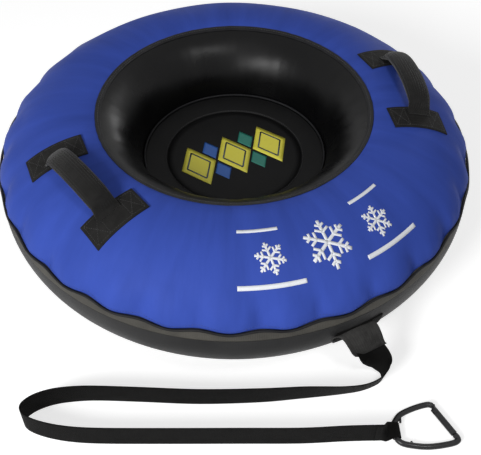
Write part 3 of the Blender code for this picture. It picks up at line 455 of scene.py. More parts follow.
def cover_place(x, y, lift):
    """A point on the finished blue panel over this place on the plan."""
    r, angle = math.hypot(x, y), math.atan2(y, x)
    section = crown_angle(r)
    here = gathered(section, angle)
    flat = crown_point(x, y)
    normal = crown_point(x, y, 1) - flat
    return Vector((here[0] * x / r, here[0] * y / r, here[1])) + normal * lift


# Meshes


def spun(points, axis, steps, closed=False):
    """The line through these points, spun a full turn about an axis through the origin."""
    bm = bmesh.new()
    verts = [bm.verts.new(point) for point in points]
    edges = [bm.edges.new(pair) for pair in zip(verts, verts[1:])]
    if closed:
        edges.append(bm.edges.new((verts[-1], verts[0])))
    turn = {"cent": (0, 0, 0), "axis": axis, "angle": 2 * math.pi, "steps": steps}
    bmesh.ops.spin(bm, geom=verts + edges, use_merge=True, **turn)
    bmesh.ops.remove_doubles(bm, verts=bm.verts, dist=WELD)
    bmesh.ops.recalc_face_normals(bm, faces=bm.faces)
    return bm


def turned(profile, columns, closed=False):
    """The profile of (r, z) points spun a full turn about Z, with its UV map in metres."""
    bm = spun([(r, 0, z) for r, z in profile], (0, 0, 1), columns, closed)
    layer = bm.loops.layers.uv.new("UVMap")
    for face in bm.faces:
        angles = [math.atan2(loop.vert.co.y, loop.vert.co.x) for loop in face.loops]
        if max(angles) - min(angles) > math.pi:
            angles = [angle % (2 * math.pi) for angle in angles]
        for loop, angle in zip(face.loops, angles):
            x, y, z = loop.vert.co
            loop[layer].uv = (angle * CROWN_RADIUS, along_section(math.hypot(x, y), z))
    return bm


def round_section(centre, radius):
    """(r, z) points round a piping whose middle is at this (r, z)."""
    turns = [2 * math.pi * i / PIPING_SIDES for i in range(PIPING_SIDES)]
    r, z = centre
    return [(r + radius * math.sin(turn), z + radius * math.cos(turn)) for turn in turns]


def reshaped(bm, move):
    """Moves each point: move takes and gives (r, z), at an angle in radians."""
    for vertex in bm.verts:
        x, y, z = vertex.co
        angle = math.atan2(y, x)
        r, z = move(math.hypot(x, y), z, angle)
        vertex.co = (r * math.cos(angle), r * math.sin(angle), z)
    return bm


def faced(bm, outward):
    """Turns all faces round if they look against outward(centre of a face)."""
    bm.normal_update()
    lean = 0.0
    for face in bm.faces:
        lean += face.normal.dot(outward(face.calc_center_median())) * face.calc_area()
    if lean < 0:
        bmesh.ops.reverse_faces(bm, faces=bm.faces)
    return bm


def off_tube(centre):
    """The way out of the tube at this place."""
    ring = Vector((centre.x, centre.y, 0)).normalized() * CROWN_RADIUS
    return centre - ring - Vector((0, 0, WIDEST_HEIGHT))


def upward(centre):
    return Vector((0, 0, 1))


def grid(columns, rows, place, uv=None):
    """A grid whose points go from x, y in -0.5 to 0.5 to place(x, y), with uv(x, y) on its map."""
    bm = bmesh.new()
    bmesh.ops.create_grid(bm, x_segments=columns, y_segments=rows, size=0.5)
    if uv:
        layer = bm.loops.layers.uv.new("UVMap")
        for face in bm.faces:
            for loop in face.loops:
                loop[layer].uv = uv(*loop.vert.co.xy)
    for vertex in bm.verts:
        vertex.co = place(*vertex.co.xy)
    return bm


def swept(rings, around=None):
    """Faces through rings of as many points each, with a UV map in metres and filled ends.

    around gives the U of each point of a ring, for webbing that has the same U on both faces.
    """
    count, rows = len(rings[0]), len(rings) - 1
    if around is None:
        ring, around = rings[len(rings) // 2], [0.0]
        for i in range(count):
            around.append(around[-1] + (ring[i] - ring[(i + 1) % count]).length)
    else:
        around = [*around, around[0]]
    along = [0.0]
    for here, there in zip(rings, rings[1:]):
        along.append(along[-1] + (middle_of(there) - middle_of(here)).length)

    def place(x, y):
        return rings[round((y + 0.5) * rows)][round((x + 0.5) * count) % count]

    def uv(x, y):
        return around[round((x + 0.5) * count)], along[round((y + 0.5) * rows)]

    bm = grid(count, rows, place, uv)
    bmesh.ops.remove_doubles(bm, verts=bm.verts, dist=WELD)
    bmesh.ops.holes_fill(bm, edges=bm.edges, sides=0)
    bmesh.ops.recalc_face_normals(bm, faces=bm.faces)
    return bm


def middle_of(ring):
    return sum(ring, Vector()) / len(ring)


def block(low, high, edge, segments=2):
    """A box with rounded edges, its UV map in metres along its two longer sides."""
    low, high = Vector(low), Vector(high)
    bm = bmesh.new()
    bmesh.ops.create_cube(bm, size=1)
    bmesh.ops.scale(bm, verts=bm.verts, vec=high - low)
    bmesh.ops.translate(bm, verts=bm.verts, vec=(low + high) / 2)
    kind = {"affect": "EDGES", "segments": segments, "profile": 0.5, "material": -1}
    bmesh.ops.bevel(bm, geom=bm.edges, offset=edge, **kind)
    return flat_map(bm)


def flat_map(bm):
    """A UV map in metres over the two longer sides of a flat piece, the longest along V."""
    size = [max(v.co[i] for v in bm.verts) - min(v.co[i] for v in bm.verts) for i in range(3)]
    order = sorted(range(3), key=lambda i: size[i])
    layer = bm.loops.layers.uv.verify()
    for face in bm.faces:
        for loop in face.loops:
            loop[layer].uv = (loop.vert.co[order[1]], loop.vert.co[order[2]])
    return bm


def round_ring(centre, across, up, radius, sides):
    turns = [2 * math.pi * i / sides for i in range(sides)]
    return [centre + (across * math.cos(turn) + up * math.sin(turn)) * radius for turn in turns]


def rod(start, end, radius, tip, sides):
    """A round rod between two points with softened ends; tip is their share of the radius."""
    length = (end - start).length
    along = (end - start).normalized()
    turn = along.to_track_quat("Z", "Y")
    across, up = turn @ Vector((1, 0, 0)), turn @ Vector((0, 1, 0))
    ends = [(0, 1 - tip), (tip / 3, 1 - tip / 3), (tip, 1)]
    stations = [(radius * back, radius * size) for back, size in ends]
    stations += [(length - at, size) for at, size in reversed(stations)]
    return swept([round_ring(start + along * at, across, up, size, sides) for at, size in stations])


def meshed(name, bm):
    """A mesh of this bmesh, which is freed."""
    data = bpy.data.meshes.new(name)
    bm.to_mesh(data)
    bm.free()
    return data


def linked(name, data):
    """A new object in the scene."""
    obj = bpy.data.objects.new(name, data)
    bpy.context.scene.collection.objects.link(obj)
    return obj


def merged(*parts):
    """Several bmeshes in one."""
    whole = bmesh.new()
    for bm in parts:
        data = meshed("part", bm)
        whole.from_mesh(data)
        bpy.data.meshes.remove(data)
    return whole


def carved(bm, cutter):
    """The first shape less the second."""
    held = [linked("carved", meshed("carved", bm)), linked("cutter", meshed("cutter", cutter))]
    modifier(held[0], "BOOLEAN", operation="DIFFERENCE", object=held[1], solver="EXACT")
    bpy.context.view_layer.update()
    graph = bpy.context.evaluated_depsgraph_get()
    data = bpy.data.meshes.new_from_object(held[0].evaluated_get(graph))
    result = bmesh.new()
    result.from_mesh(data)
    for obj in held:
        bpy.data.objects.remove(obj)
    bpy.data.meshes.remove(data)
    return result


def smooth_route(points, steps):
    """Points on one smooth curve through the given ones, with this many to a span."""
    points = [Vector(point) for point in points]
    ends = [2 * points[0] - points[1], *points, 2 * points[-1] - points[-2]]
    route = []
    for before, here, there, after in zip(ends, ends[1:], ends[2:], ends[3:]):
        pull, push = (there - before) / 2, (after - here) / 2
        for step in range(steps):
            t = step / steps
            place = (2 * t**3 - 3 * t**2 + 1) * here + (t**3 - 2 * t**2 + t) * pull
            route.append(place + (3 * t**2 - 2 * t**3) * there + (t**3 - t**2) * push)
    route.append(points[-1])
    return route


def tangents(route):
    last = len(route) - 1
    return [(route[min(i + 1, last)] - route[max(i - 1, 0)]).normalized() for i in range(last + 1)]


def flat_section(width, thickness, steps=6):
    """(x, y) round flat webbing with rounded edges."""
    half, high = (width - thickness) / 2, thickness / 2
    upper = [(half * (1 - 2 * i / steps), high) for i in range(steps + 1)]
    for turn in (45, 90, 135):
        bend = math.radians(turn)
        upper.append((-half - high * math.sin(bend), high * math.cos(bend)))
    return upper + [(-x, -y) for x, y in upper]


def ring_at(centre, across, up, section):
    return [centre + across * x + up * y for x, y in section]


# Pieces


def modifier(obj, kind, **settings):
    made = obj.modifiers.new(kind.title(), kind)
    for key, value in settings.items():
        setattr(made, key, value)
    return made


def walled(obj, thickness, offset=-1):
    modifier(obj, "SOLIDIFY", thickness=thickness, offset=offset, use_even_offset=True)


def piece(name, bm, material, replaces=(), body="tube", sharp=40):
    """A finished piece of the object that rides on a body, in place of these nodes."""
    data = meshed(name, bm)
    data.shade_smooth()
    data.set_sharp_from_angle(angle=math.radians(sharp))
    data.materials.append(material)
    obj = linked(name, data)
    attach(obj, body)
    if replaces:
        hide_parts(*replaces)
    return obj


def sewn_patch(name, bm, material, node, thickness):
    """A patch of webbing with softened edges that lies on the cover."""
    patch = piece(name, bm, material, [node])
    walled(patch, thickness, offset=1)
    limit = {"limit_method": "ANGLE", "angle_limit": math.radians(50)}
    modifier(patch, "BEVEL", width=thickness / 3, segments=2, **limit)


def refinish(names, material):
    """Gives CAD nodes that keep their shape a better finish."""
    for name in names:
        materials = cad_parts[name].data.materials
        materials.clear()
        materials.append(material)


def stitches(name, places, material, size):
    """One small capsule of thread at each place: its middle, its direction and the way up."""
    squash = Matrix.Diagonal((size[0] / 2, size[1] / 2, size[1] / 2, 1))
    groups = []
    for first in range(0, len(places), STITCH_GROUP):
        bm = bmesh.new()
        for centre, along, up in places[first : first + STITCH_GROUP]:
            along = along.normalized()
            side = up.cross(along).normalized()
            turn = Matrix((along, side, along.cross(side))).transposed().to_4x4()
            place = Matrix.Translation(centre) @ turn @ squash
            bmesh.ops.create_uvsphere(bm, u_segments=6, v_segments=4, radius=1, matrix=place)
        groups.append(bm)
    piece(name, merged(*groups), material, sharp=180)


def row_of_stitches(place, length, pitch):
    """Stitches along place(s) -> (point, up), for s in metres from 0 to length."""
    found = []
    count = max(1, round(length / pitch))
    step = length / count
    for i in range(count):
        at = (i + 0.5) * step
        here, up = place(at)
        there, _ = place(at + step / 10)
        found.append((here, there - here, up))
    return found


# Finishes


class Finish:
    """A material in the making: its shader, and the relief that is laid on its surface."""

    BAND_PERIOD = math.pi / 10
    LOW, HIGH = 0.3, 0.7

    def __init__(self, name, color, roughness, **sockets):
        self.material = bpy.data.materials.new(name)
        self.material.use_nodes = True
        self.tree = self.material.node_tree
        self.shader = self.tree.nodes["Principled BSDF"]
        self.color = tuple(color)
        self.shader.inputs["Base Color"].default_value = (*self.color, 1.0)
        self.shader.inputs["Roughness"].default_value = roughness
        for key, value in sockets.items():
            self.shader.inputs[key.replace("_", " ")].default_value = value
        places = self.node("ShaderNodeTexCoord")
        self.uv = places.outputs["UV"]
        self.object = places.outputs["Object"]
        self.normal = None
        finishes[name] = self.material

    def node(self, kind, inputs=None, **settings):
        made = self.tree.nodes.new(kind)
        for key, value in settings.items():
            setattr(made, key, value)
        for key, value in (inputs or {}).items():
            if isinstance(value, bpy.types.NodeSocket):
                self.tree.links.new(value, made.inputs[key])
            else:
                made.inputs[key].default_value = value
        return made

    def cloud(self, source, scale, detail=3.0, roughness=0.5):
        inputs = {"Vector": source, "Scale": scale, "Detail": detail, "Roughness": roughness}
        return self.node("ShaderNodeTexNoise", inputs).outputs["Fac"]

    def streaks(self, across, along, detail=3.0):
        """Noise drawn out along the cloth, at these scales across and along its UV map."""
        made = self.node("ShaderNodeMapping", {"Vector": self.uv, "Scale": (across, along, 1)})
        return self.cloud(made.outputs["Vector"], 1.0, detail)

    def bands(self, source, pitch, direction="X"):
        """Ridges this far apart in metres, across one direction of the source."""
        inputs = {"Vector": source, "Scale": self.BAND_PERIOD / pitch}
        kind = {"wave_type": "BANDS", "bands_direction": direction}
        return self.node("ShaderNodeTexWave", inputs, **kind).outputs["Fac"]

    def math(self, operation, first, second):
        return self.node("ShaderNodeMath", {0: first, 1: second}, operation=operation).outputs[0]

    def weave(self, source, pitch):
        """A plain weave: two threads that cross."""
        threads = [self.bands(source, pitch, direction) for direction in "XY"]
        return self.math("MULTIPLY", *threads)

    def chevron(self, source, fold, pitch):
        """A herringbone: slanted threads that turn back each fold of the width."""
        parts = self.node("ShaderNodeSeparateXYZ", {0: source})
        zigzag = self.math("PINGPONG", parts.outputs["X"], fold)
        slant = self.math("ADD", zigzag, parts.outputs["Y"])
        line = self.node("ShaderNodeCombineXYZ", {"X": slant}).outputs[0]
        return self.bands(line, pitch)

    def relief(self, height, depth, strength=1.0):
        """Lays this height, from 0 to 1, on the surface, this deep in metres."""
        inputs = {"Height": height, "Distance": depth, "Strength": strength}
        if self.normal is not None:
            inputs["Normal"] = self.normal
        self.normal = self.node("ShaderNodeBump", inputs).outputs["Normal"]
        return self

    def tones(self, factor, low, high, start=LOW, end=HIGH):
        """Colour over this factor, from low to high times the finish's own."""
        made = self.node("ShaderNodeValToRGB", {"Fac": factor})
        first, last = made.color_ramp.elements
        first.position, last.position = start, end
        first.color, last.color = (*shade(self.color, low), 1.0), (*shade(self.color, high), 1.0)
        self.tree.links.new(made.outputs["Color"], self.shader.inputs["Base Color"])
        return self

    def gloss(self, factor, low, high):
        """Roughness from low to high over this factor."""
        inputs = {"From Min": self.LOW, "From Max": self.HIGH, "To Min": low, "To Max": high}
        out = self.node("ShaderNodeMapRange", {"Value": factor, **inputs}).outputs["Result"]
        self.tree.links.new(out, self.shader.inputs["Roughness"])
        return self

    def done(self):
        if self.normal is not None:
            self.tree.links.new(self.normal, self.shader.inputs["Normal"])
        return self.material


def shade(color, factor):
    return tuple(part * factor for part in color)


def blue_cloth():
    made = Finish("blue_cloth", look().cover_color, 0.5, Specular_IOR_Level=0.03)
    streaks = made.streaks(34, 5, 4)
    made.tones(streaks, 0.9, 1.12)
    made.gloss(made.cloud(made.object, 9, 3), 0.42, 0.56)
    made.relief(streaks, 0.0016, 0.5)
    made.relief(made.streaks(90, 22, 3), 0.0006, 0.5)
    return made.relief(made.weave(made.uv, look().cloth_pitch), 0.00012, 0.5).done()


def bowl_cloth():
    made = Finish("bowl_cloth", look().bowl_color, 0.3, Specular_IOR_Level=0.15)
    soft = made.streaks(10, 3, 3)
    made.tones(soft, 0.85, 1.25)
    made.gloss(made.cloud(made.object, 14, 4), 0.24, 0.36)
    made.relief(soft, 0.0035, 0.5)
    made.relief(made.streaks(55, 12, 3), 0.0007, 0.35)
    return made.relief(made.weave(made.uv, look().cloth_pitch), 0.00008, 0.4).done()


def seat_cloth():
    made = Finish("seat_cloth", look().seat_color, 0.5, Specular_IOR_Level=0.1)
    soft = made.cloud(made.object, 16, 3)
    made.tones(soft, 0.85, 1.2)
    made.relief(soft, 0.002, 0.4)
    return made.relief(made.weave(made.object, look().cloth_pitch * 1.6), 0.0002, 0.6).done()


def base_cloth():
    made = Finish("base_cloth", (0.024, 0.024, 0.0245), 0.5, Specular_IOR_Level=0.15)
    soft = made.cloud(made.object, 11, 4)
    made.tones(soft, 0.75, 1.3)
    made.gloss(soft, 0.42, 0.6)
    made.relief(soft, 0.002, 0.4)
    return made.relief(made.weave(made.uv, 0.0016), 0.00025, 0.7).done()


def band_cloth():
    made = Finish("band_cloth", look().band_color, 0.75)
    made.tones(made.cloud(made.object, 30, 4), 0.75, 1.3)
    return made.relief(made.weave(made.uv, 0.0018), 0.0004, 0.8).done()


def trim_cloth():
    """Black grosgrain of the binding and the pipings."""
    made = Finish("trim_cloth", (0.008, 0.008, 0.009), 0.45, Specular_IOR_Level=0.12)
    ribs = made.bands(made.uv, 0.0009)
    made.tones(made.cloud(made.object, 40, 3), 0.7, 1.8)
    return made.relief(ribs, 0.00018, 0.6).done()


def strap_webbing(name, lighter=1.0, grain=1.0, sheen=0.0):
    """Heavy woven webbing, in a herringbone along its length."""
    # lighter makes a lighter copy of the webbing; the flap's copy, nine times lighter, is painted
    # light on its face
    color = shade(look().webbing_color, lighter)
    sockets = {"Specular_IOR_Level": 0.045, "Sheen_Weight": sheen, "Sheen_Roughness": 0.35}
    made = Finish(name, color, 0.65, **sockets)
    fold = look().webbing_fold * grain
    threads = made.chevron(made.uv, fold, look().webbing_pitch * grain)
    ribs = made.bands(made.uv, fold)
    dust = made.cloud(made.object, 60, 4, 0.6)
    mix = made.math("ADD", made.math("MULTIPLY", threads, 0.55), made.math("MULTIPLY", dust, 0.6))
    made.tones(mix, 0.4, 1.9, 0.25, 0.9)
    made.relief(ribs, 0.0003 * grain, 0.4)
    return made.relief(threads, 0.00035 * grain, 0.8).done()


def dark_metal():
    made = Finish("dark_metal", look().metal_color, 0.3, Metallic=0.25, Specular_IOR_Level=0.32)
    haze = made.cloud(made.object, 120, 4, 0.6)
    made.tones(haze, 0.8, 1.25)
    made.gloss(haze, 0.18, 0.3)
    return made.relief(made.cloud(made.object, 450, 3), 0.00003, 0.3).done()


def brass_metal():
    made = Finish("brass_metal", (0.55, 0.38, 0.14), 0.3, Metallic=1.0)
    haze = made.cloud(made.object, 200, 3)
    made.tones(haze, 0.85, 1.1)
    return made.gloss(haze, 0.22, 0.4).done()


def tube_rubber():
    made = Finish("tube_rubber", (0.02, 0.02, 0.021), 0.55)
    dust = made.cloud(made.object, 25, 5, 0.6)
    made.tones(dust, 1.0, 1.8)
    return made.relief(made.cloud(made.object, 350, 2), 0.0002, 0.4).done()


def moulded_plastic():
    made = Finish("moulded_plastic", (0.014, 0.014, 0.015), 0.42)
    grain = made.cloud(made.object, 700, 2)
    made.tones(made.cloud(made.object, 40, 3), 1.0, 1.5)
    return made.relief(grain, 0.00005, 0.5).done()


def thread(name, color):
    made = Finish(name, color, 0.6, Sheen_Weight=0.2)
    made.tones(made.cloud(made.object, 300, 2), 0.7, 1.3)
    return made.relief(made.bands(made.object, 0.0006, "DIAGONAL"), 0.0001, 0.6).done()


def print_ink(name, color):
    made = Finish(name, color, 0.42)
    wear = made.cloud(made.object, 45, 5, 0.65)
    made.tones(wear, 0.86, 1.0, 0.2, 0.45)
    return made.relief(made.weave(made.object, 0.0012), 0.0001, 0.4).done()


def finish(make, *arguments):
    """The material that this function makes, made once."""
    key = arguments[0] if arguments else make.__name__
    return finishes.get(key) or make(*arguments)


def webbing_finish():
    return finish(strap_webbing, "black_webbing", 1.0)


def tab_finish():
    return finish(strap_webbing, "tab_webbing", 3.8, 1.2)


def trim():
    return finish(trim_cloth)


def dark_thread():
    return finish(thread, "dark_thread", (0.03, 0.03, 0.032))


# Cover


def make_cover_panel():
    start = SEAM_ANGLE + edge_gap(SEAM_ANGLE)
    end = RIM_ANGLE - edge_gap(RIM_ANGLE)
    knee = SEAM_ANGLE + PUCKER_REACH / arc_per_degree(SEAM_ANGLE)
    rows = spread(start, knee, 22)[:-1] + spread(knee, end, 22)
    bm = turned([section_point(row) for row in rows], COVER_COLUMNS)
    reshaped(bm, lambda r, z, angle: gathered(section_angle(r, z), angle))
    faced(bm, off_tube)
    panel = piece("cover_panel", bm, finish(blue_cloth), ["top_cover"])
    walled(panel, COVER_THICKNESS)


def make_binding():
    half = BINDING_WIDTH / 2 / arc_per_degree(RIM_ANGLE)
    section = []
    for turn in range(0, 360, 30):
        bend = math.radians(turn)
        swell = max(0.0, math.sin(bend)) ** BINDING_CROWN_POWER
        aside = math.copysign(abs(math.cos(bend)) ** BINDING_SIDE_POWER, math.cos(bend))
        section.append(section_point(RIM_ANGLE + half * aside, -FIT_GAP - BINDING_PROUD * swell))
    bm = turned(section, COVER_COLUMNS, closed=True)

    def wrinkle(r, z, angle):
        shift = BINDING_EDGE * ripple(angle, 22)
        return r + shift, z + BINDING_EDGE * ripple(angle, 17, 3) / 2

    reshaped(bm, wrinkle)
    bmesh.ops.recalc_face_normals(bm, faces=bm.faces)
    piece("rim_tape", bm, trim(), ["rim_binding"])


def make_side_seam():
    middle = SEAM_ANGLE - edge_gap(SEAM_ANGLE, PIPING_RADIUS / 2)
    section = round_section(section_point(middle, -PIPING_RADIUS - FIT_GAP), PIPING_RADIUS)

    def follow_seam(r, z, angle):
        here = section_point(SEAM_ANGLE)
        there = section_point(SEAM_ANGLE + seam_shift(angle))
        return r + there[0] - here[0], z + there[1] - here[1]

    bm = reshaped(turned(section, FINE_COLUMNS, closed=True), follow_seam)
    bmesh.ops.recalc_face_normals(bm, faces=bm.faces)
    piece("seam_piping", bm, trim(), ["perimeter_piping"])

    def follow_band(r, z, angle):
        section = section_angle(r, z)
        share = max(0.0, (section - BAND_ANGLE) / (SEAM_ANGLE - BAND_ANGLE))
        pleat = BAND_PLEAT * ripple(angle, 40, section) * math.sin(math.pi * min(1.0, share))
        return section_point(section + seam_shift(angle, share), -pleat)

    rows = spread(SEAM_ANGLE - edge_gap(SEAM_ANGLE), BAND_ANGLE, 8)
    bm = reshaped(turned([section_point(row) for row in rows], COVER_COLUMNS), follow_band)
    faced(bm, off_tube)
    band = piece("side_band", bm, finish(band_cloth), ["perimeter_band"])
    walled(band, COVER_THICKNESS)


def make_base():
    rows = spread(BAND_ANGLE - 2 * edge_gap(BAND_ANGLE), GROUND_ANGLE, 30)
    profile = [section_point(row) for row in rows]
    profile += [(r, 0) for r in spread(profile[-1][0], BASE_INNER_RADIUS, 4)[1:]]
    for r in spread(BASE_INNER_RADIUS, BASE_RECESS_RADIUS, 6)[1:]:
        share = (BASE_INNER_RADIUS - r) / BASE_RAMP
        profile.append((r, BASE_LIFT * (1 - math.cos(math.pi * share)) / 2))
    profile += [(r, BASE_LIFT) for r in spread(BASE_RECESS_RADIUS, 0, 8)[1:]]
    bm = faced(turned(profile, WALL_COLUMNS), off_tube)
    bmesh.ops.solidify(bm, geom=bm.faces, thickness=COVER_THICKNESS)
    slot = block(
        (-ZIP_LENGTH / 2, -SLOT_WIDTH / 2, BASE_LIFT - SLOT_WIDTH),
        (ZIP_LENGTH / 2, SLOT_WIDTH / 2, BASE_LIFT + SLOT_WIDTH),
        FIT_GAP,
        1,
    )
    piece("base_sheet", carved(bm, slot), finish(base_cloth), ["base_panel"])


# Seat


def make_bowl():
    rows = spread(FLOOR_ANGLE, RIM_ANGLE + edge_gap(RIM_ANGLE), 34)
    bm = turned([section_point(row) for row in rows], WALL_COLUMNS)

    def slacken(r, z, angle):
        section = section_angle(r, z)
        share = (section - RIM_ANGLE) / (FLOOR_ANGLE - RIM_ANGLE)
        hold = math.sin(math.pi * min(1.0, max(0.0, share)))
        swell = look().slack * (1.2 * ripple(angle, 3, section / 25) + 0.5 * ripple(angle, 9, 7))
        return section_point(section, -swell * hold)

    faced(reshaped(bm, slacken), off_tube)
    wall = piece("bowl_wall", bm, finish(bowl_cloth), ["seat_wall"])
    walled(wall, COVER_THICKNESS)


def floor_height(r, outer):
    """Height of the seat's floor: flat in the middle, sloping up over the band to the wall."""
    floor = SEAT_FLOOR_HEIGHT - SEAT_DIP
    if r <= SEAT_PANEL_RADIUS:
        return floor
    return floor + SEAT_DIP * (r - SEAT_PANEL_RADIUS) / (outer - SEAT_PANEL_RADIUS)


def make_floor():
    wall_face = section_point(FLOOR_ANGLE)[0] * math.cos(math.pi / CAD_COLUMNS)
    outer = wall_face - 2 * FIT_GAP
    inner = SEAT_PANEL_RADIUS + FIT_GAP
    edge = SEAT_PANEL_RADIUS - FIT_GAP

    def swell(r, z, angle):
        share = (r - inner) / (outer - inner)
        rise = SEAT_BAND_SWELL * math.sin(math.pi * share)
        rise += SEAT_BAND_RIPPLE * ripple(angle, 12, share) * share
        return r, floor_height(r, outer) + rise

    def settle(r, z, angle):
        share = r / edge
        rise = SEAT_PANEL_RIPPLE * ripple(angle, 6 * share, 2) * (1 - share**8)
        return r, floor_height(r, outer) + rise

    cloths = (
        ("floor_band", spread(inner, outer, 8), swell, "seat_band"),
        ("floor_panel", spread(edge, 0, 10), settle, "seat_panel"),
    )
    for name, rows, move, node in cloths:
        bm = reshaped(turned([(r, SEAT_FLOOR_HEIGHT) for r in rows], WALL_COLUMNS), move)
        cloth = piece(name, faced(bm, upward), finish(seat_cloth), [node])
        walled(cloth, SEAT_THICKNESS)

    reach = FIT_GAP + SEAT_PIPING_RADIUS
    section = round_section((wall_face - reach, SEAT_FLOOR_HEIGHT + reach), SEAT_PIPING_RADIUS)
    bm = turned(section, WALL_COLUMNS, closed=True)
    piece("floor_piping", bm, trim(), ["seat_piping"])
    radius = SEAT_PANEL_RADIUS + FLOOR_SEAM_MARGIN
    height = floor_height(radius, outer) + FLOOR_STITCH_LIFT
    seam = ring_stitches(radius, height, FLOOR_STITCH_PITCH)
    stitches("floor_stitching", seam, dark_thread(), FLOOR_STITCH)


def ring_stitches(radius, height, pitch):
    """Stitches round the tube's axis, on a face that looks up."""

    def place(at):
        return round_place(radius, math.degrees(at / radius), height), Vector((0, 0, 1))

    return row_of_stitches(place, 2 * math.pi * radius, pitch)


# Prints


def bar(start, end, width, steps=8):
    """A straight stripe on the plan, cut into short lengths so that it can bend."""
    start, end = Vector((*start, 0)), Vector((*end, 0))
    along = end - start
    side = Vector((-along.y, along.x, 0)).normalized() * width
    return grid(steps, 2, lambda x, y: start + along * (x + 0.5) + side * y)


def arc(radius, width, start, end):
    """A curved stripe round the tube's axis between two angles in degrees."""

    def place(x, y):
        return round_place(radius + width * y, start + (end - start) * (x + 0.5), 0)

    return grid(ARC_STEPS, 2, place)


def snowflake(centre, size, width):
    """Six arms with two pairs of twigs each."""
    found = []
    middle = Vector((*centre, 0))
    for turn in range(30, 390, 60):
        way = round_place(1, turn, 0)
        found.append(bar(middle.xy, (middle + way * size).xy, width))
        for share, twig in TWIGS:
            root = middle + way * size * share
            for lean in (-TWIG_TURN, TWIG_TURN):
                tip = root + round_place(1, turn + lean, 0) * size * twig
                found.append(bar(root.xy, tip.xy, width * TWIG_WIDTH_SHARE, 4))
    return found


def diamond(centre, half_x, half_y, steps=8):
    x, y = centre

    def place(along, across):
        return x + (along + across) * half_x, y + (along - across) * half_y, 0

    return grid(steps, steps, place)


def printed(name, shapes, surface, ink, lift=INK_LIFT):
    """Thin ink on a surface: each point of the flat shapes goes to surface(x, y, lift)."""
    bm = merged(*shapes)
    for vertex in bm.verts:
        vertex.co = surface(*vertex.co.xy, lift)
    bmesh.ops.recalc_face_normals(bm, faces=bm.faces)
    for face in bm.faces:
        if face.normal.z < 0:
            face.normal_flip()
    walled(piece(name, bm, ink), lift / 2)


def make_prints():
    shapes = [shape for flake in FLAKES for shape in snowflake(*flake)]
    for radius, near, far in STRIPES:
        for side in (-1, 1):
            ends = sorted((-90 + side * near, -90 + side * far))
            shapes.append(arc(radius, STRIPE_WIDTH, *ends))
    white = finish(print_ink, "white_ink", look().print_color)
    printed("cover_print", shapes, cover_place, white)

    def on_floor(x, y, lift):
        return Vector((x, y, SEAT_FLOOR_HEIGHT - SEAT_DIP + INK_LIFT + lift))

    row = (-2 * DIAMOND_STEP, 0.0, 2 * DIAMOND_STEP)
    pair = (-SMALL_OFFSET, SMALL_OFFSET)
    colours = (
        ("yellow_ink", look().accent_yellow, [(x, 0) for x in row], LARGE_DIAMOND),
        ("blue_ink", look().accent_blue, [(-DIAMOND_STEP, y) for y in pair], SMALL_DIAMOND),
        ("teal_ink", look().accent_teal, [(DIAMOND_STEP, y) for y in pair], SMALL_DIAMOND),
    )
    for name, color, centres, size in colours:
        shapes = [diamond(centre, *size) for centre in centres]
        ink = finish(print_ink, name, color)
        printed(f"floor_{name}", shapes, on_floor, ink)
    half_x, half_y = LINE_DIAMOND
    lines = []
    for x in row:
        corners = [(x + half_x, 0), (x, half_y), (x - half_x, 0), (x, -half_y)]
        for first, second in zip(corners, corners[1:] + corners[:1]):
            lines.append(bar(first, second, LINE_WIDTH, 2))
    dark = finish(print_ink, "dark_ink", DARK_INK)
    printed("floor_lines", lines, on_floor, dark, 2 * INK_LIFT)


# Grips


def sleeve_section(half_width, half_height):
    """(x, y) round the sleeve, a little squarer than an ellipse."""
    ring = []
    for i in range(SLEEVE_SIDES):
        turn = 2 * math.pi * (i + 0.5) / SLEEVE_SIDES
        x, y = math.cos(turn), math.sin(turn)
        x = math.copysign(abs(x) ** (2 / Grip.ROUND_POWER), x)
        y = math.copysign(abs(y) ** (2 / Grip.ROUND_POWER), y)
        ring.append((half_width * x, half_height * y))
    return ring


def sewn_line(on_tab, first, second):
    """Stitches in a straight line on a tab, between two places (along, across) on it."""
    first, second = Vector(first), Vector(second)
    length = (second - first).length
    way = (second - first) / length
    top = TAB_TOP + TAB_STITCH_LIFT

    def place(at):
        spot = first + way * at
        here = on_tab(*spot, top)
        return here, on_tab(*spot, top + 1) - here

    return row_of_stitches(place, length, GRIP_STITCH_PITCH)


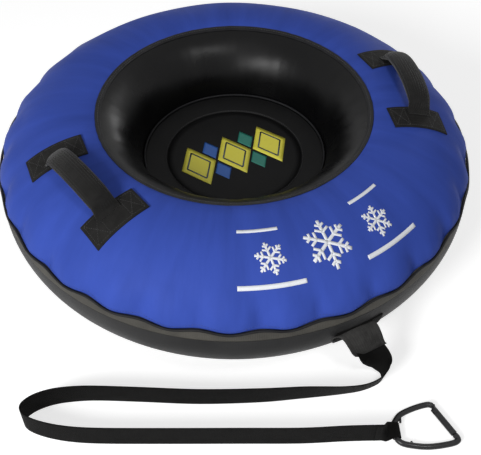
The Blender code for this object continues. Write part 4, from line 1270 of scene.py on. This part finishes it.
class Grip:
    """The arch of one grip: a straight chord on the plan that rises over the cover."""

    ROUND_POWER = 2.2
    TAPER_POWER = 7
    PLUMP = 1.12
    END_SHRINK = 0.9
    ARCH_POWER = 0.62
    START = 12
    STATIONS = 72
    RAISED_START = 21
    RAISED_STATIONS = 16
    # Ends sewn down on the tabs: distance past the arch, half width, half height
    SEWN_END = (
        (0.004, 0.0214, 0.0042),
        (0.007, 0.0218, 0.0028),
        (0.0095, 0.0220, 0.0019),
        (0.0115, 0.0216, 0.0012),
    )

    def __init__(self, side, middle):
        self.side = side
        self.middle = middle
        span, start = math.radians(GRIP_HALF_SPAN), math.radians(self.START)
        self.out = round_place(1, middle, 0)
        self.along = round_place(1, middle + 90, 0)
        self.centre = self.out * (GRIP_RADIUS * math.cos(span))
        self.end = GRIP_RADIUS * math.sin(span)
        self.half = self.end / math.cos(start)
        self.rise = (GRIP_MIDDLE_HEIGHT - GRIP_END_HEIGHT) / (1 - math.sin(start))
        self.base = GRIP_END_HEIGHT - self.rise * math.sin(start)
        foot = crown_point(*self.centre.xy)
        self.normal = (crown_point(*self.centre.xy, 1) - foot).normalized()

    def surface(self, along, across, lift):
        place = self.centre + self.along * along + self.out * across
        return crown_point(place.x, place.y, lift)

    def point(self, turn):
        """The middle of the arch at this turn, in degrees from one end."""
        along = -self.half * math.cos(math.radians(turn))
        height = self.base + self.rise * math.sin(math.radians(turn)) ** self.ARCH_POWER
        return self.surface(along, 0, 0) + self.normal * height

    def arched(self, turn, section):
        """A ring of this section round the arch."""
        tangent = (self.point(turn + 1) - self.point(turn - 1)).normalized()
        up = (self.normal - tangent * self.normal.dot(tangent)).normalized()
        return ring_at(self.point(turn), up.cross(tangent), up, section)

    def sewn(self, along, section, lift):
        """A ring of this section that lies on the tab."""
        return [self.surface(along, -x, lift + y) for x, y in section]

    def sewn_end(self, sign):
        """Rings of the sleeve's flattened end, outwards, on the tab."""
        rings = []
        for past, width, height in self.SEWN_END:
            section = sleeve_section(width, height)
            rings.append(self.sewn(sign * (self.end + past), section, TAB_TOP + FIT_GAP + height))
        return rings

    def size(self, turn):
        """Half width and half height of the sleeve at this turn."""
        share = abs(math.cos(math.radians(turn))) ** self.TAPER_POWER
        width, height = SLEEVE_HALF_WIDTH * self.PLUMP, SLEEVE_HALF_HEIGHT * self.PLUMP
        width += (SLEEVE_END_HALF_WIDTH * self.END_SHRINK - width) * share
        height += (SLEEVE_END_HALF_HEIGHT - height) * share
        return width, height

    def make_sleeve(self):
        rings = self.sewn_end(-1)[::-1]
        for turn in spread(self.RAISED_START, 180 - self.RAISED_START, self.RAISED_STATIONS):
            rings.append(self.arched(turn, sleeve_section(*self.size(turn))))
        rings += self.sewn_end(1)
        lines = [smooth_route(line, SLEEVE_STEPS) for line in zip(*rings)]
        bm = swept([list(ring) for ring in zip(*lines)])
        cloth = finish(strap_webbing, "grip_webbing", 3.2, 0.8, 0.22)
        nodes = [f"{self.side}_handle_sleeve", f"{self.side}_handle_foam"]
        sleeve = piece(f"{self.side}_grip_sleeve", bm, cloth, nodes)

    def make_core(self):
        section = flat_section(2 * GRIP_CORE_HALF_WIDTH, WEBBING_THICKNESS)
        lift = TAB_TOP + 2 * FIT_GAP + WEBBING_THICKNESS / 2
        first = self.end + 2 * WEBBING_THICKNESS
        feet = [first + FOOT_LENGTH * i / 2 for i in (2, 1, 0)]
        turns = spread(self.START, 180 - self.START, self.STATIONS)
        rings = [self.sewn(-along, section, lift) for along in feet]
        rings += [self.arched(turn, section) for turn in turns]
        rings += [self.sewn(along, section, lift) for along in reversed(feet)]
        bm = swept(rings, [x for x, _ in section])
        node = f"{self.side}_handle_webbing"
        piece(f"{self.side}_grip_webbing", bm, webbing_finish(), [node])

    def make_tab(self, name, end, turn):
        """A patch sewn to the cover; gives the stitches of its border and its two crosses."""
        place = round_place(GRIP_RADIUS, self.middle + end * TAB_FROM_GRIP, 0)
        out = round_place(1, self.middle + end * turn, 0)
        aside = round_place(1, self.middle + end * turn + 90, 0)

        def on_tab(along, across, lift=2 * FIT_GAP):
            at = place + out * along + aside * across
            return crown_point(at.x, at.y, lift)

        def spot(x, y):
            return on_tab(x * TAB_LENGTH, y * TAB_WIDTH)

        bm = grid(*TAB_GRID, spot, lambda x, y: (y * TAB_WIDTH, x * TAB_LENGTH))
        label, node = f"{self.side}_grip_tab_{name}", f"{self.side}_handle_tab_{name}"
        sewn_patch(label, faced(bm, upward), tab_finish(), node, TAB_THICKNESS)
        x, y = TAB_LENGTH / 2 - TAB_MARGIN, TAB_WIDTH / 2 - TAB_MARGIN
        corners = [(-x, -y), (x, -y), (x, y), (-x, y)]
        lines = list(zip(corners, corners[1:] + corners[:1]))
        for far in (x, -x):
            near = far * TAB_BOX_SHARE
            lines += [((far, -y), (near, y)), ((far, y), (near, -y)), ((near, -y), (near, y))]
        found = []
        for line in lines:
            found += sewn_line(on_tab, *line)
        return found


def make_grips():
    for side, sign in (("left", -1), ("right", 1)):
        grip = Grip(side, -90 + sign * GRIP_FROM_TOW)
        grip.make_sleeve()
        grip.make_core()
        found = grip.make_tab("front", -sign, FRONT_TAB_TURN)
        found += grip.make_tab("rear", sign, REAR_TAB_TURN)
        stitches(f"{side}_grip_stitching", found, dark_thread(), GRIP_STITCH)


# Tow strap


def tow_place():
    """The frame of the tow patch: Z outwards, Y up the side."""
    upper, lower = section_point(0), section_point(TOW_PATCH_LOW_ANGLE)
    flat = math.cos(math.pi / CAD_COLUMNS)
    r, z = (upper[0] + lower[0]) / 2 * flat, (upper[1] + lower[1]) / 2
    fall = math.atan2((upper[0] - lower[0]) * flat, upper[1] - lower[1])
    outward = round_place(math.cos(fall), TOW_ANGLE, -math.sin(fall))
    across = round_place(1, TOW_ANGLE + 90, 0)
    up = outward.cross(across)
    turn = Matrix((across, up, outward)).transposed().to_4x4()
    return Matrix.Translation(round_place(r, TOW_ANGLE, z)) @ turn


def make_tow_tab():
    place = tow_place()
    middle = section_angle(math.hypot(*place.translation.xy), place.translation.z)

    def on_side(x, y):
        section = middle + y * TOW_PATCH_LENGTH / arc_per_degree(middle)
        turn = TOW_ANGLE + x * math.degrees(TOW_PATCH_WIDTH / OVERALL_RADIUS)
        r, z = section_point(section, -2 * FIT_GAP)
        return round_place(r, turn, z)

    bm = grid(*PATCH_GRID, on_side, lambda x, y: (y * TOW_PATCH_LENGTH, x * TOW_PATCH_WIDTH))
    bm = faced(bm, off_tube)
    sewn_patch("tow_patch_webbing", bm, webbing_finish(), "tow_patch", WEBBING_THICKNESS)

    side = [(0, up * TOW_TAB_DROP, out * TOW_TAB_REACH) for out, up in FLAP_SHARES]
    path = smooth_route(side, STRAP_STEPS)
    section = flat_section(TOW_TAB_WIDTH, WEBBING_THICKNESS, 10)
    across = Vector((1, 0, 0))
    rings = []
    for i, (centre, way) in enumerate(zip(path, tangents(path))):
        share = i / (len(path) - 1)
        centre = centre + across * (TOW_TAB_SHIFT + TOW_TAB_LEAN * share)
        wider = 1 + (TOW_TAB_ROOT_WIDTH / TOW_TAB_WIDTH - 1) * (1 - share)
        curled = []
        for x, y in section:
            wave = math.cos(2 * math.pi * FLAP_WAVES * x / TOW_TAB_WIDTH)
            curled.append((x * wider, y + FLAP_CURL * math.sin(math.pi * share) * wave))
        rings.append(ring_at(centre, across, way.cross(across), curled))
    bm = swept(rings, [x for x, _ in section])
    bm.transform(place)
    # Painted light: the flap is the strap's own webbing painted nine times lighter, for the light
    # that falls on its flat face
    painted_light_flap_finish = finish(strap_webbing, "flap_webbing", 9.0, 1.2)
    piece("tow_flap", bm, painted_light_flap_finish, ["tow_loop"])


def make_strap(carabiner):
    places = [(x, y - OVERALL_RADIUS, z) for x, y, z, _ in STRAP_ROUTE]
    route = smooth_route(places, STRAP_STEPS)
    leans = smooth_route([(lean, 0, 0) for *_, lean in STRAP_ROUTE], STRAP_STEPS)
    section = flat_section(WEBBING_WIDTH, WEBBING_THICKNESS, 8)
    rings = []
    for at, way, lean in zip(route, tangents(route), leans):
        upright = (Vector((0, 0, 1)) - way * way.z).normalized()
        wide = Matrix.Rotation(math.radians(lean.x), 3, way) @ upright
        rings.append(ring_at(at, wide, wide.cross(way), section))
    bm = swept(rings, [x for x, _ in section])
    strap = piece("pull_strap", bm, webbing_finish(), ["tow_strap"])
    end = piece("strap_end", strap_end_shape(), webbing_finish(), ["strap_end_loop"])


def bar_place(height):
    """The frame at the carabiner's bar, with Y along it."""
    turn = Matrix.Rotation(math.radians(BAR_TURN), 4, "Z")
    return Matrix.Translation((BAR_X, BAR_Y, height)) @ turn


def strap_end_shape():
    """The strap's end: it twists from upright to flat, narrows and wraps the carabiner's bar."""
    wrap = ROD_RADIUS + FIT_GAP + WEBBING_THICKNESS / 2
    full = WEBBING_WIDTH / 2
    centres, wides, thicks = [], [], []
    for back, side, height, turn, width, thick in LEAD_SHARES:
        centres.append(Vector((-back * LOOP_LEAD, side * full, height * full)))
        turn = math.radians(90) * turn
        wides.append(Vector((0, math.sin(turn), math.cos(turn))) * full * width)
        thick *= WEBBING_THICKNESS / 2
        thicks.append(Vector((0, math.cos(turn), -math.sin(turn))) * thick)
    for i in range(WRAP_STEPS + 1):
        turn = math.radians(90 - WRAP_TURN * i / WRAP_STEPS)
        out = Vector((math.cos(turn), 0, math.sin(turn)))
        centres.append(Vector((0, 0, BAR_HEIGHT)) + out * wrap)
        wides.append(Vector((0, LOOP_HALF_WIDTH, 0)))
        thicks.append(-out * WEBBING_THICKNESS / 2)
    section = flat_section(2, 2 * UNIT_HALF_THICKNESS, 8)
    rings = []
    rows = [smooth_route(row, LOOP_STEPS) for row in (centres, wides, thicks)]
    for centre, wide, thick in zip(*rows):
        rings.append(ring_at(centre, wide, thick / UNIT_HALF_THICKNESS, section))
    bm = swept(rings, [x * full for x, _ in section])
    bm.transform(bar_place(0))
    return bm


# Carabiner


def carabiner_place():
    return bar_place(BAR_HEIGHT) @ Matrix.Rotation(CARABINER_TILT, 4, "Y")


def in_reach(share):
    return Vector((*share, 0)) * CARABINER_REACH


def aimed(start, end):
    """The frame at start whose X points at end, in the carabiner's plane."""
    line = end - start
    return Matrix.Translation(start) @ Matrix.Rotation(math.atan2(line.y, line.x), 4, "Z")


def carabiner_rod():
    """The bent rod, its two nubs and the tongue that holds the gate, in the carabiner's plane."""
    up = Vector((0, 0, 1))
    hinge = in_reach(HINGE_SHARE)
    route = smooth_route([in_reach(share) for share in (*ROD_SHARES, NOSE_SHARE)], ROD_STEPS)
    rings = []
    for i, (centre, way) in enumerate(zip(route, tangents(route))):
        radius = ROD_RADIUS * (ROD_END_SHARE if i in (0, len(route) - 1) else 1)
        rings.append(round_ring(centre, up.cross(way), up, radius, ROD_SIDES))
    root = (hinge - route[0]).length + ROD_RADIUS / 2
    tongue = block(
        (-root, -TONGUE_WIDTH / 2, -TONGUE_THICKNESS / 2),
        (TONGUE_REACH, TONGUE_WIDTH / 2, TONGUE_THICKNESS / 2),
        TONGUE_THICKNESS / 6,
    )
    tongue.transform(aimed(hinge, 2 * hinge - route[0]))
    parts = [swept(rings), tongue]
    for start, tip in zip(NUB_ROOT_SHARES, NUB_TIP_SHARES):
        parts.append(rod(in_reach(start), in_reach(tip), NUB_RADIUS, NUB_TIP, NUB_SIDES))
    return merged(*parts)


def carabiner_gate():
    """The gate along X from its hinge: a turned bar with two grooves, slotted for the tongue."""
    length = (in_reach(NOSE_SHARE) - in_reach(HINGE_SHARE)).length - GATE_END_GAP
    cheek = TONGUE_REACH + FIT_GAP
    profile = [(along - cheek, share) for along, share in GATE_CHEEK]
    for start in (GATE_GROOVES[0], length + GATE_GROOVES[1]):
        profile += [(start + along, share) for along, share in GATE_GROOVE]
    profile += [(length - GATE_RADIUS * GATE_TIP, 1.0), (length, 1 - GATE_TIP), (length, 0.0)]
    points = [(x, 0, share * GATE_RADIUS) for x, share in profile]
    slot = block(
        (-cheek - ROD_RADIUS, -ROD_RADIUS * 2, -TONGUE_THICKNESS / 2 - FIT_GAP),
        (cheek + ROD_RADIUS / 2, ROD_RADIUS * 2, TONGUE_THICKNESS / 2 + FIT_GAP),
        FIT_GAP / 2,
        1,
    )
    return carved(flat_map(spun(points, (1, 0, 0), GATE_SIDES)), slot)


def make_carabiner():
    """The frame and the gate, and the gate's pin and spring with their finish."""
    place = carabiner_place()
    metal = finish(dark_metal)
    bm = carabiner_rod()
    bm.transform(place)
    nodes = ["carabiner_frame"]
    body = piece("snap_frame", bm, metal, nodes, body="carabiner_body")
    bm = carabiner_gate()
    bm.transform(place @ aimed(in_reach(HINGE_SHARE), in_reach(NOSE_SHARE)))
    nodes = ["carabiner_gate"]
    gate = piece("snap_gate", bm, metal, nodes, body="gate_body", sharp=30)
    refinish(["gate_pin", "gate_spring"], metal)
    return [body, gate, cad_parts["gate_pin"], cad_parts["gate_spring"]]


# Zip and air tube


def make_zip():
    tape_half = ZIP_LENGTH / 2 + TAPE_OVERLAP
    for name, side in (("left", 1), ("right", -1)):
        near, far = sorted((side * FIT_GAP, side * TAPE_WIDTH))
        low, high = (-tape_half, near, TAPE_BOTTOM), (tape_half, far, TAPE_BOTTOM + TAPE_THICKNESS)
        bm = block(low, high, TAPE_THICKNESS / 4)
        piece(f"zip_cloth_{name}", bm, webbing_finish(), [f"zip_tape_{name}"])
        plastic, nodes = finish(moulded_plastic), [f"zip_coil_{name}"]
        piece(f"zip_spiral_{name}", zip_spiral(side), plastic, nodes)
    refinish(["zip_slider", "zip_pull", "zip_stop_front", "zip_stop_rear"], finish(dark_metal))


def zip_spiral(side):
    """One side's spiral of stiff thread, flattened to the coil's own width and height."""
    turns = int(2 * COIL_HALF_LENGTH / COIL_PITCH)
    centre = Vector((0, side * (FIT_GAP + COIL_WIDTH / 2), COIL_TOP - COIL_HEIGHT / 2))
    half_y, half_z = COIL_WIDTH / 2 - COIL_WIRE, COIL_HEIGHT / 2 - COIL_WIRE
    route = []
    for i in range(turns * COIL_STEPS + 1):
        turn = 2 * math.pi * i / COIL_STEPS
        x = -COIL_HALF_LENGTH + COIL_WIRE + COIL_PITCH * i / COIL_STEPS
        route.append(centre + Vector((x, half_y * math.cos(turn), half_z * math.sin(turn))))
    rings = []
    for centre, way in zip(route, tangents(route)):
        across = way.cross(Vector((1, 0, 0))).normalized()
        rings.append(round_ring(centre, across, across.cross(way), COIL_WIRE, COIL_SIDES))
    return swept(rings)


def dress_air_tube():
    refinish(["inner_tube", "valve_patch"], finish(tube_rubber))
    refinish(["valve_stem", "valve_core"], finish(brass_metal))
    refinish(["valve_cap"], finish(moulded_plastic))


# Seam stitching


def make_seam_stitches():
    pitch, thick = look().stitch_pitch, look().thread_thickness
    r, z = section_point(RIM_ANGLE, -FIT_GAP - BINDING_PROUD - thick / 4)
    found = ring_stitches(r, z, pitch)
    stitches("rim_stitching", found, dark_thread(), (pitch * RIM_STITCH_SHARE, thick))

    blue = finish(thread, "blue_thread", shade(look().cover_color, 0.55))
    section = SEAM_ANGLE + COVER_SEAM_MARGIN / arc_per_degree(SEAM_ANGLE)

    def along_seam(at):
        turn = at / OVERALL_RADIUS
        r, z = gathered(section, turn)
        here = round_place(r, math.degrees(turn), z)
        out = off_tube(here).normalized()
        return here + out * COVER_STITCH_LIFT, out

    found = row_of_stitches(along_seam, 2 * math.pi * OVERALL_RADIUS, pitch)
    stitches("seam_stitching", found, blue, (pitch * COVER_STITCH_SHARE, thick))


# Stage


def seen_white(tree):
    """1 for rays that see the backdrop: from the camera, off gloss or through glass."""
    path = tree.nodes.new("ShaderNodeLightPath")
    level = path.outputs["Is Camera Ray"]
    for ray in ("Is Glossy Ray", "Is Transmission Ray"):
        both = tree.nodes.new("ShaderNodeMath")
        both.operation = "MAXIMUM"
        tree.links.new(level, both.inputs[0])
        tree.links.new(path.outputs[ray], both.inputs[1])
        level = both.outputs[0]
    return level


def scaled(tree, level, low, high):
    made = tree.nodes.new("ShaderNodeMapRange")
    tree.links.new(level, made.inputs["Value"])
    made.inputs["To Min"].default_value = low
    made.inputs["To Max"].default_value = high
    return made.outputs["Result"]


def make_floor_and_world():
    def place(x, y):
        return x * FLOOR_SIZE, y * FLOOR_SIZE, -FLOOR_DROP

    floor = linked("studio_floor", meshed("studio_floor", grid(1, 1, place)))
    paper = bpy.data.materials.new("studio_paper")
    paper.use_nodes = True
    tree = paper.node_tree
    shader = tree.nodes["Principled BSDF"]
    shader.inputs["Base Color"].default_value = PAPER_COLOR
    shader.inputs["Roughness"].default_value = 0.9
    shader.inputs["Specular IOR Level"].default_value = 0.0
    shader.inputs["Emission Color"].default_value = (1, 1, 1, 1)
    glow = scaled(tree, seen_white(tree), 0.0, look().floor_glow)
    tree.links.new(glow, shader.inputs["Emission Strength"])
    floor.data.materials.append(paper)

    world = bpy.data.worlds.new("studio")
    world.use_nodes = True
    tree = world.node_tree
    sky = tree.nodes["Background"]
    sky.inputs["Color"].default_value = (1, 1, 1, 1)
    level = scaled(tree, seen_white(tree), look().sky_level, 1.0)
    tree.links.new(level, sky.inputs["Strength"])
    bpy.context.scene.world = world


def aim(obj, place, target):
    obj.location = place
    obj.rotation_euler = (Vector(target) - Vector(place)).to_track_quat("-Z", "Y").to_euler()


def lamp(name, place, power, size):
    data = bpy.data.lights.new(name, "AREA")
    data.shape = "DISK"
    data.size = size
    data.energy = power
    aim(linked(name, data), place, LAMP_TARGET)


def make_camera():
    data = bpy.data.cameras.new("photo_camera")
    data.lens = PHOTO_LENS
    data.sensor_width = PHOTO_SENSOR
    camera = linked("photo_camera", data)
    aim(camera, PHOTO_PLACE, PHOTO_TARGET)
    bpy.context.scene.camera = camera


# Add-on


def colour(name, description, default):
    kind = {"subtype": "COLOR", "size": 3, "min": 0.0, "max": 1.0}
    return FloatVectorProperty(name=name, description=description, default=default, **kind)


def length(name, description, default):
    kind = {"subtype": "DISTANCE", "unit": "LENGTH", "min": 0.0, "precision": 5}
    return FloatProperty(name=name, description=description, default=default, **kind)


def amount(name, description, default, unit="NONE"):
    return FloatProperty(name=name, description=description, default=default, min=0.0, unit=unit)


class SnowTubeLook(bpy.types.PropertyGroup):
    """Sizes and colours of the finish that a user may change."""

    cover_color: colour("Cover", "Colour of the gathered panel", (0.041, 0.079, 0.39))
    bowl_color: colour("Bowl", "Colour of the glossy wall of the seat", (0.0018, 0.0018, 0.002))
    seat_color: colour("Seat floor", "Colour of the seat's floor", (0.004, 0.004, 0.0042))
    band_color: colour("Side band", "Colour of the band under the seam", (0.046, 0.043, 0.036))
    webbing_color: colour("Webbing", "Colour of the strap and the grips", (0.0045, 0.0044, 0.0043))
    metal_color: colour("Metal", "Colour of the carabiner", (0.016, 0.016, 0.017))
    print_color: colour("Print", "Colour of the print on the cover", (0.78, 0.80, 0.84))
    accent_yellow: colour("Accent yellow", "First colour of the seat's print", (0.72, 0.66, 0.07))
    accent_blue: colour("Accent blue", "Second colour of the seat's print", (0.012, 0.085, 0.34))
    accent_teal: colour("Accent teal", "Third colour of the seat's print", (0.006, 0.15, 0.11))
    crease_depth: length("Crease depth", "Depth of the creases at the gathers", 0.0046)
    slack: length("Slack", "Height of the slow swells in the cloth", 0.0016)
    cloth_pitch: length("Cloth thread", "Distance between the threads of the cloth", 0.0009)
    webbing_pitch: length("Webbing thread", "Distance between slanted threads", 0.0014)
    webbing_fold: length("Webbing rib", "Width of one rib of the herringbone", 0.0031)
    stitch_pitch: length("Stitch", "Distance from stitch to stitch", 0.0052)
    thread_thickness: length("Thread", "Thickness of the thread", 0.0007)
    key_power: amount("Key lamp", "Power of the main lamp", 90.0, "POWER")
    fill_power: amount("Fill lamp", "Power of the lamp over the seat", 12.0, "POWER")
    back_power: amount("Back lamp", "Power of the rear lamp", 8.0, "POWER")
    sky_level: amount("Sky", "Light from all round on the object", 0.14)
    floor_glow: amount("Floor", "White added to the floor as seen", 0.62)


class SNOWTUBE_OT_stage(bpy.types.Operator):
    """Add the camera, the lamps and the white floor"""

    bl_idname = "snowtube.stage"
    bl_label = "Stage"

    def execute(self, context):
        make_camera()
        make_floor_and_world()
        for name, place, power, size in LAMPS:
            lamp(name, place, getattr(look(), power), size)
        context.scene.view_settings.view_transform = "Standard"
        return {"FINISHED"}


class SNOWTUBE_OT_tow_strap(bpy.types.Operator):
    """Add the tow strap with its patch, its flap and the carabiner on its end"""

    bl_idname = "snowtube.tow_strap"
    bl_label = "Tow strap"

    def execute(self, context):
        make_tow_tab()
        make_strap(make_carabiner())
        return {"FINISHED"}


class SNOWTUBE_OT_cover(bpy.types.Operator):
    """Add the gathered panel, the binding, the side seam and the base"""

    bl_idname = "snowtube.cover"
    bl_label = "Cover"

    def execute(self, context):
        make_cover_panel()
        make_binding()
        make_side_seam()
        make_base()
        return {"FINISHED"}


class SNOWTUBE_OT_seat(bpy.types.Operator):
    """Add the bowl's wall and the floor of the seat"""

    bl_idname = "snowtube.seat"
    bl_label = "Seat"

    def execute(self, context):
        make_bowl()
        make_floor()
        return {"FINISHED"}


class SNOWTUBE_OT_grips(bpy.types.Operator):
    """Add both grips with their webbing and tabs"""

    bl_idname = "snowtube.grips"
    bl_label = "Grips"

    def execute(self, context):
        make_grips()
        return {"FINISHED"}


class SNOWTUBE_OT_zip(bpy.types.Operator):
    """Add the cloth and spirals of the zip in the base"""

    bl_idname = "snowtube.zip"
    bl_label = "Zip"

    def execute(self, context):
        make_zip()
        return {"FINISHED"}


class SNOWTUBE_OT_air_tube(bpy.types.Operator):
    """Finish the air tube and its valve"""

    bl_idname = "snowtube.air_tube"
    bl_label = "Air tube"

    def execute(self, context):
        dress_air_tube()
        return {"FINISHED"}


class SNOWTUBE_OT_stitching(bpy.types.Operator):
    """Add the rows of stitches along the cover's seams"""

    bl_idname = "snowtube.stitching"
    bl_label = "Stitching"

    def execute(self, context):
        make_seam_stitches()
        return {"FINISHED"}


class SNOWTUBE_OT_prints(bpy.types.Operator):
    """Add the prints on the cover and on the seat's floor"""

    bl_idname = "snowtube.prints"
    bl_label = "Prints"

    def execute(self, context):
        make_prints()
        return {"FINISHED"}


OPERATORS = (
    SNOWTUBE_OT_stage,
    SNOWTUBE_OT_tow_strap,
    SNOWTUBE_OT_cover,
    SNOWTUBE_OT_seat,
    SNOWTUBE_OT_grips,
    SNOWTUBE_OT_zip,
    SNOWTUBE_OT_air_tube,
    SNOWTUBE_OT_stitching,
    SNOWTUBE_OT_prints,
)


class SNOWTUBE_PT_panel(bpy.types.Panel):
    """Lists the looks of the snow tube and the steps that build it"""

    bl_idname = "SNOWTUBE_PT_panel"
    bl_label = "Snow tube"
    bl_space_type = "VIEW_3D"
    bl_region_type = "UI"
    bl_category = "Snow tube"

    def draw(self, context):
        for key in SnowTubeLook.__annotations__:
            self.layout.prop(look(), key)
        for operator in OPERATORS:
            self.layout.operator(operator.bl_idname)


CLASSES = (SnowTubeLook, *OPERATORS, SNOWTUBE_PT_panel)


def register():
    for made in CLASSES:
        bpy.utils.register_class(made)
    bpy.types.Scene.snow_tube_look = PointerProperty(type=SnowTubeLook)


def unregister():
    del bpy.types.Scene.snow_tube_look
    for made in reversed(CLASSES):
        bpy.utils.unregister_class(made)


def main():
    register()
    bpy.ops.snowtube.stage()
    bpy.ops.snowtube.tow_strap()
    bpy.ops.snowtube.cover()
    bpy.ops.snowtube.seat()
    bpy.ops.snowtube.grips()
    bpy.ops.snowtube.zip()
    bpy.ops.snowtube.air_tube()
    bpy.ops.snowtube.stitching()
    bpy.ops.snowtube.prints()


if __name__ == "__main__":
    main()
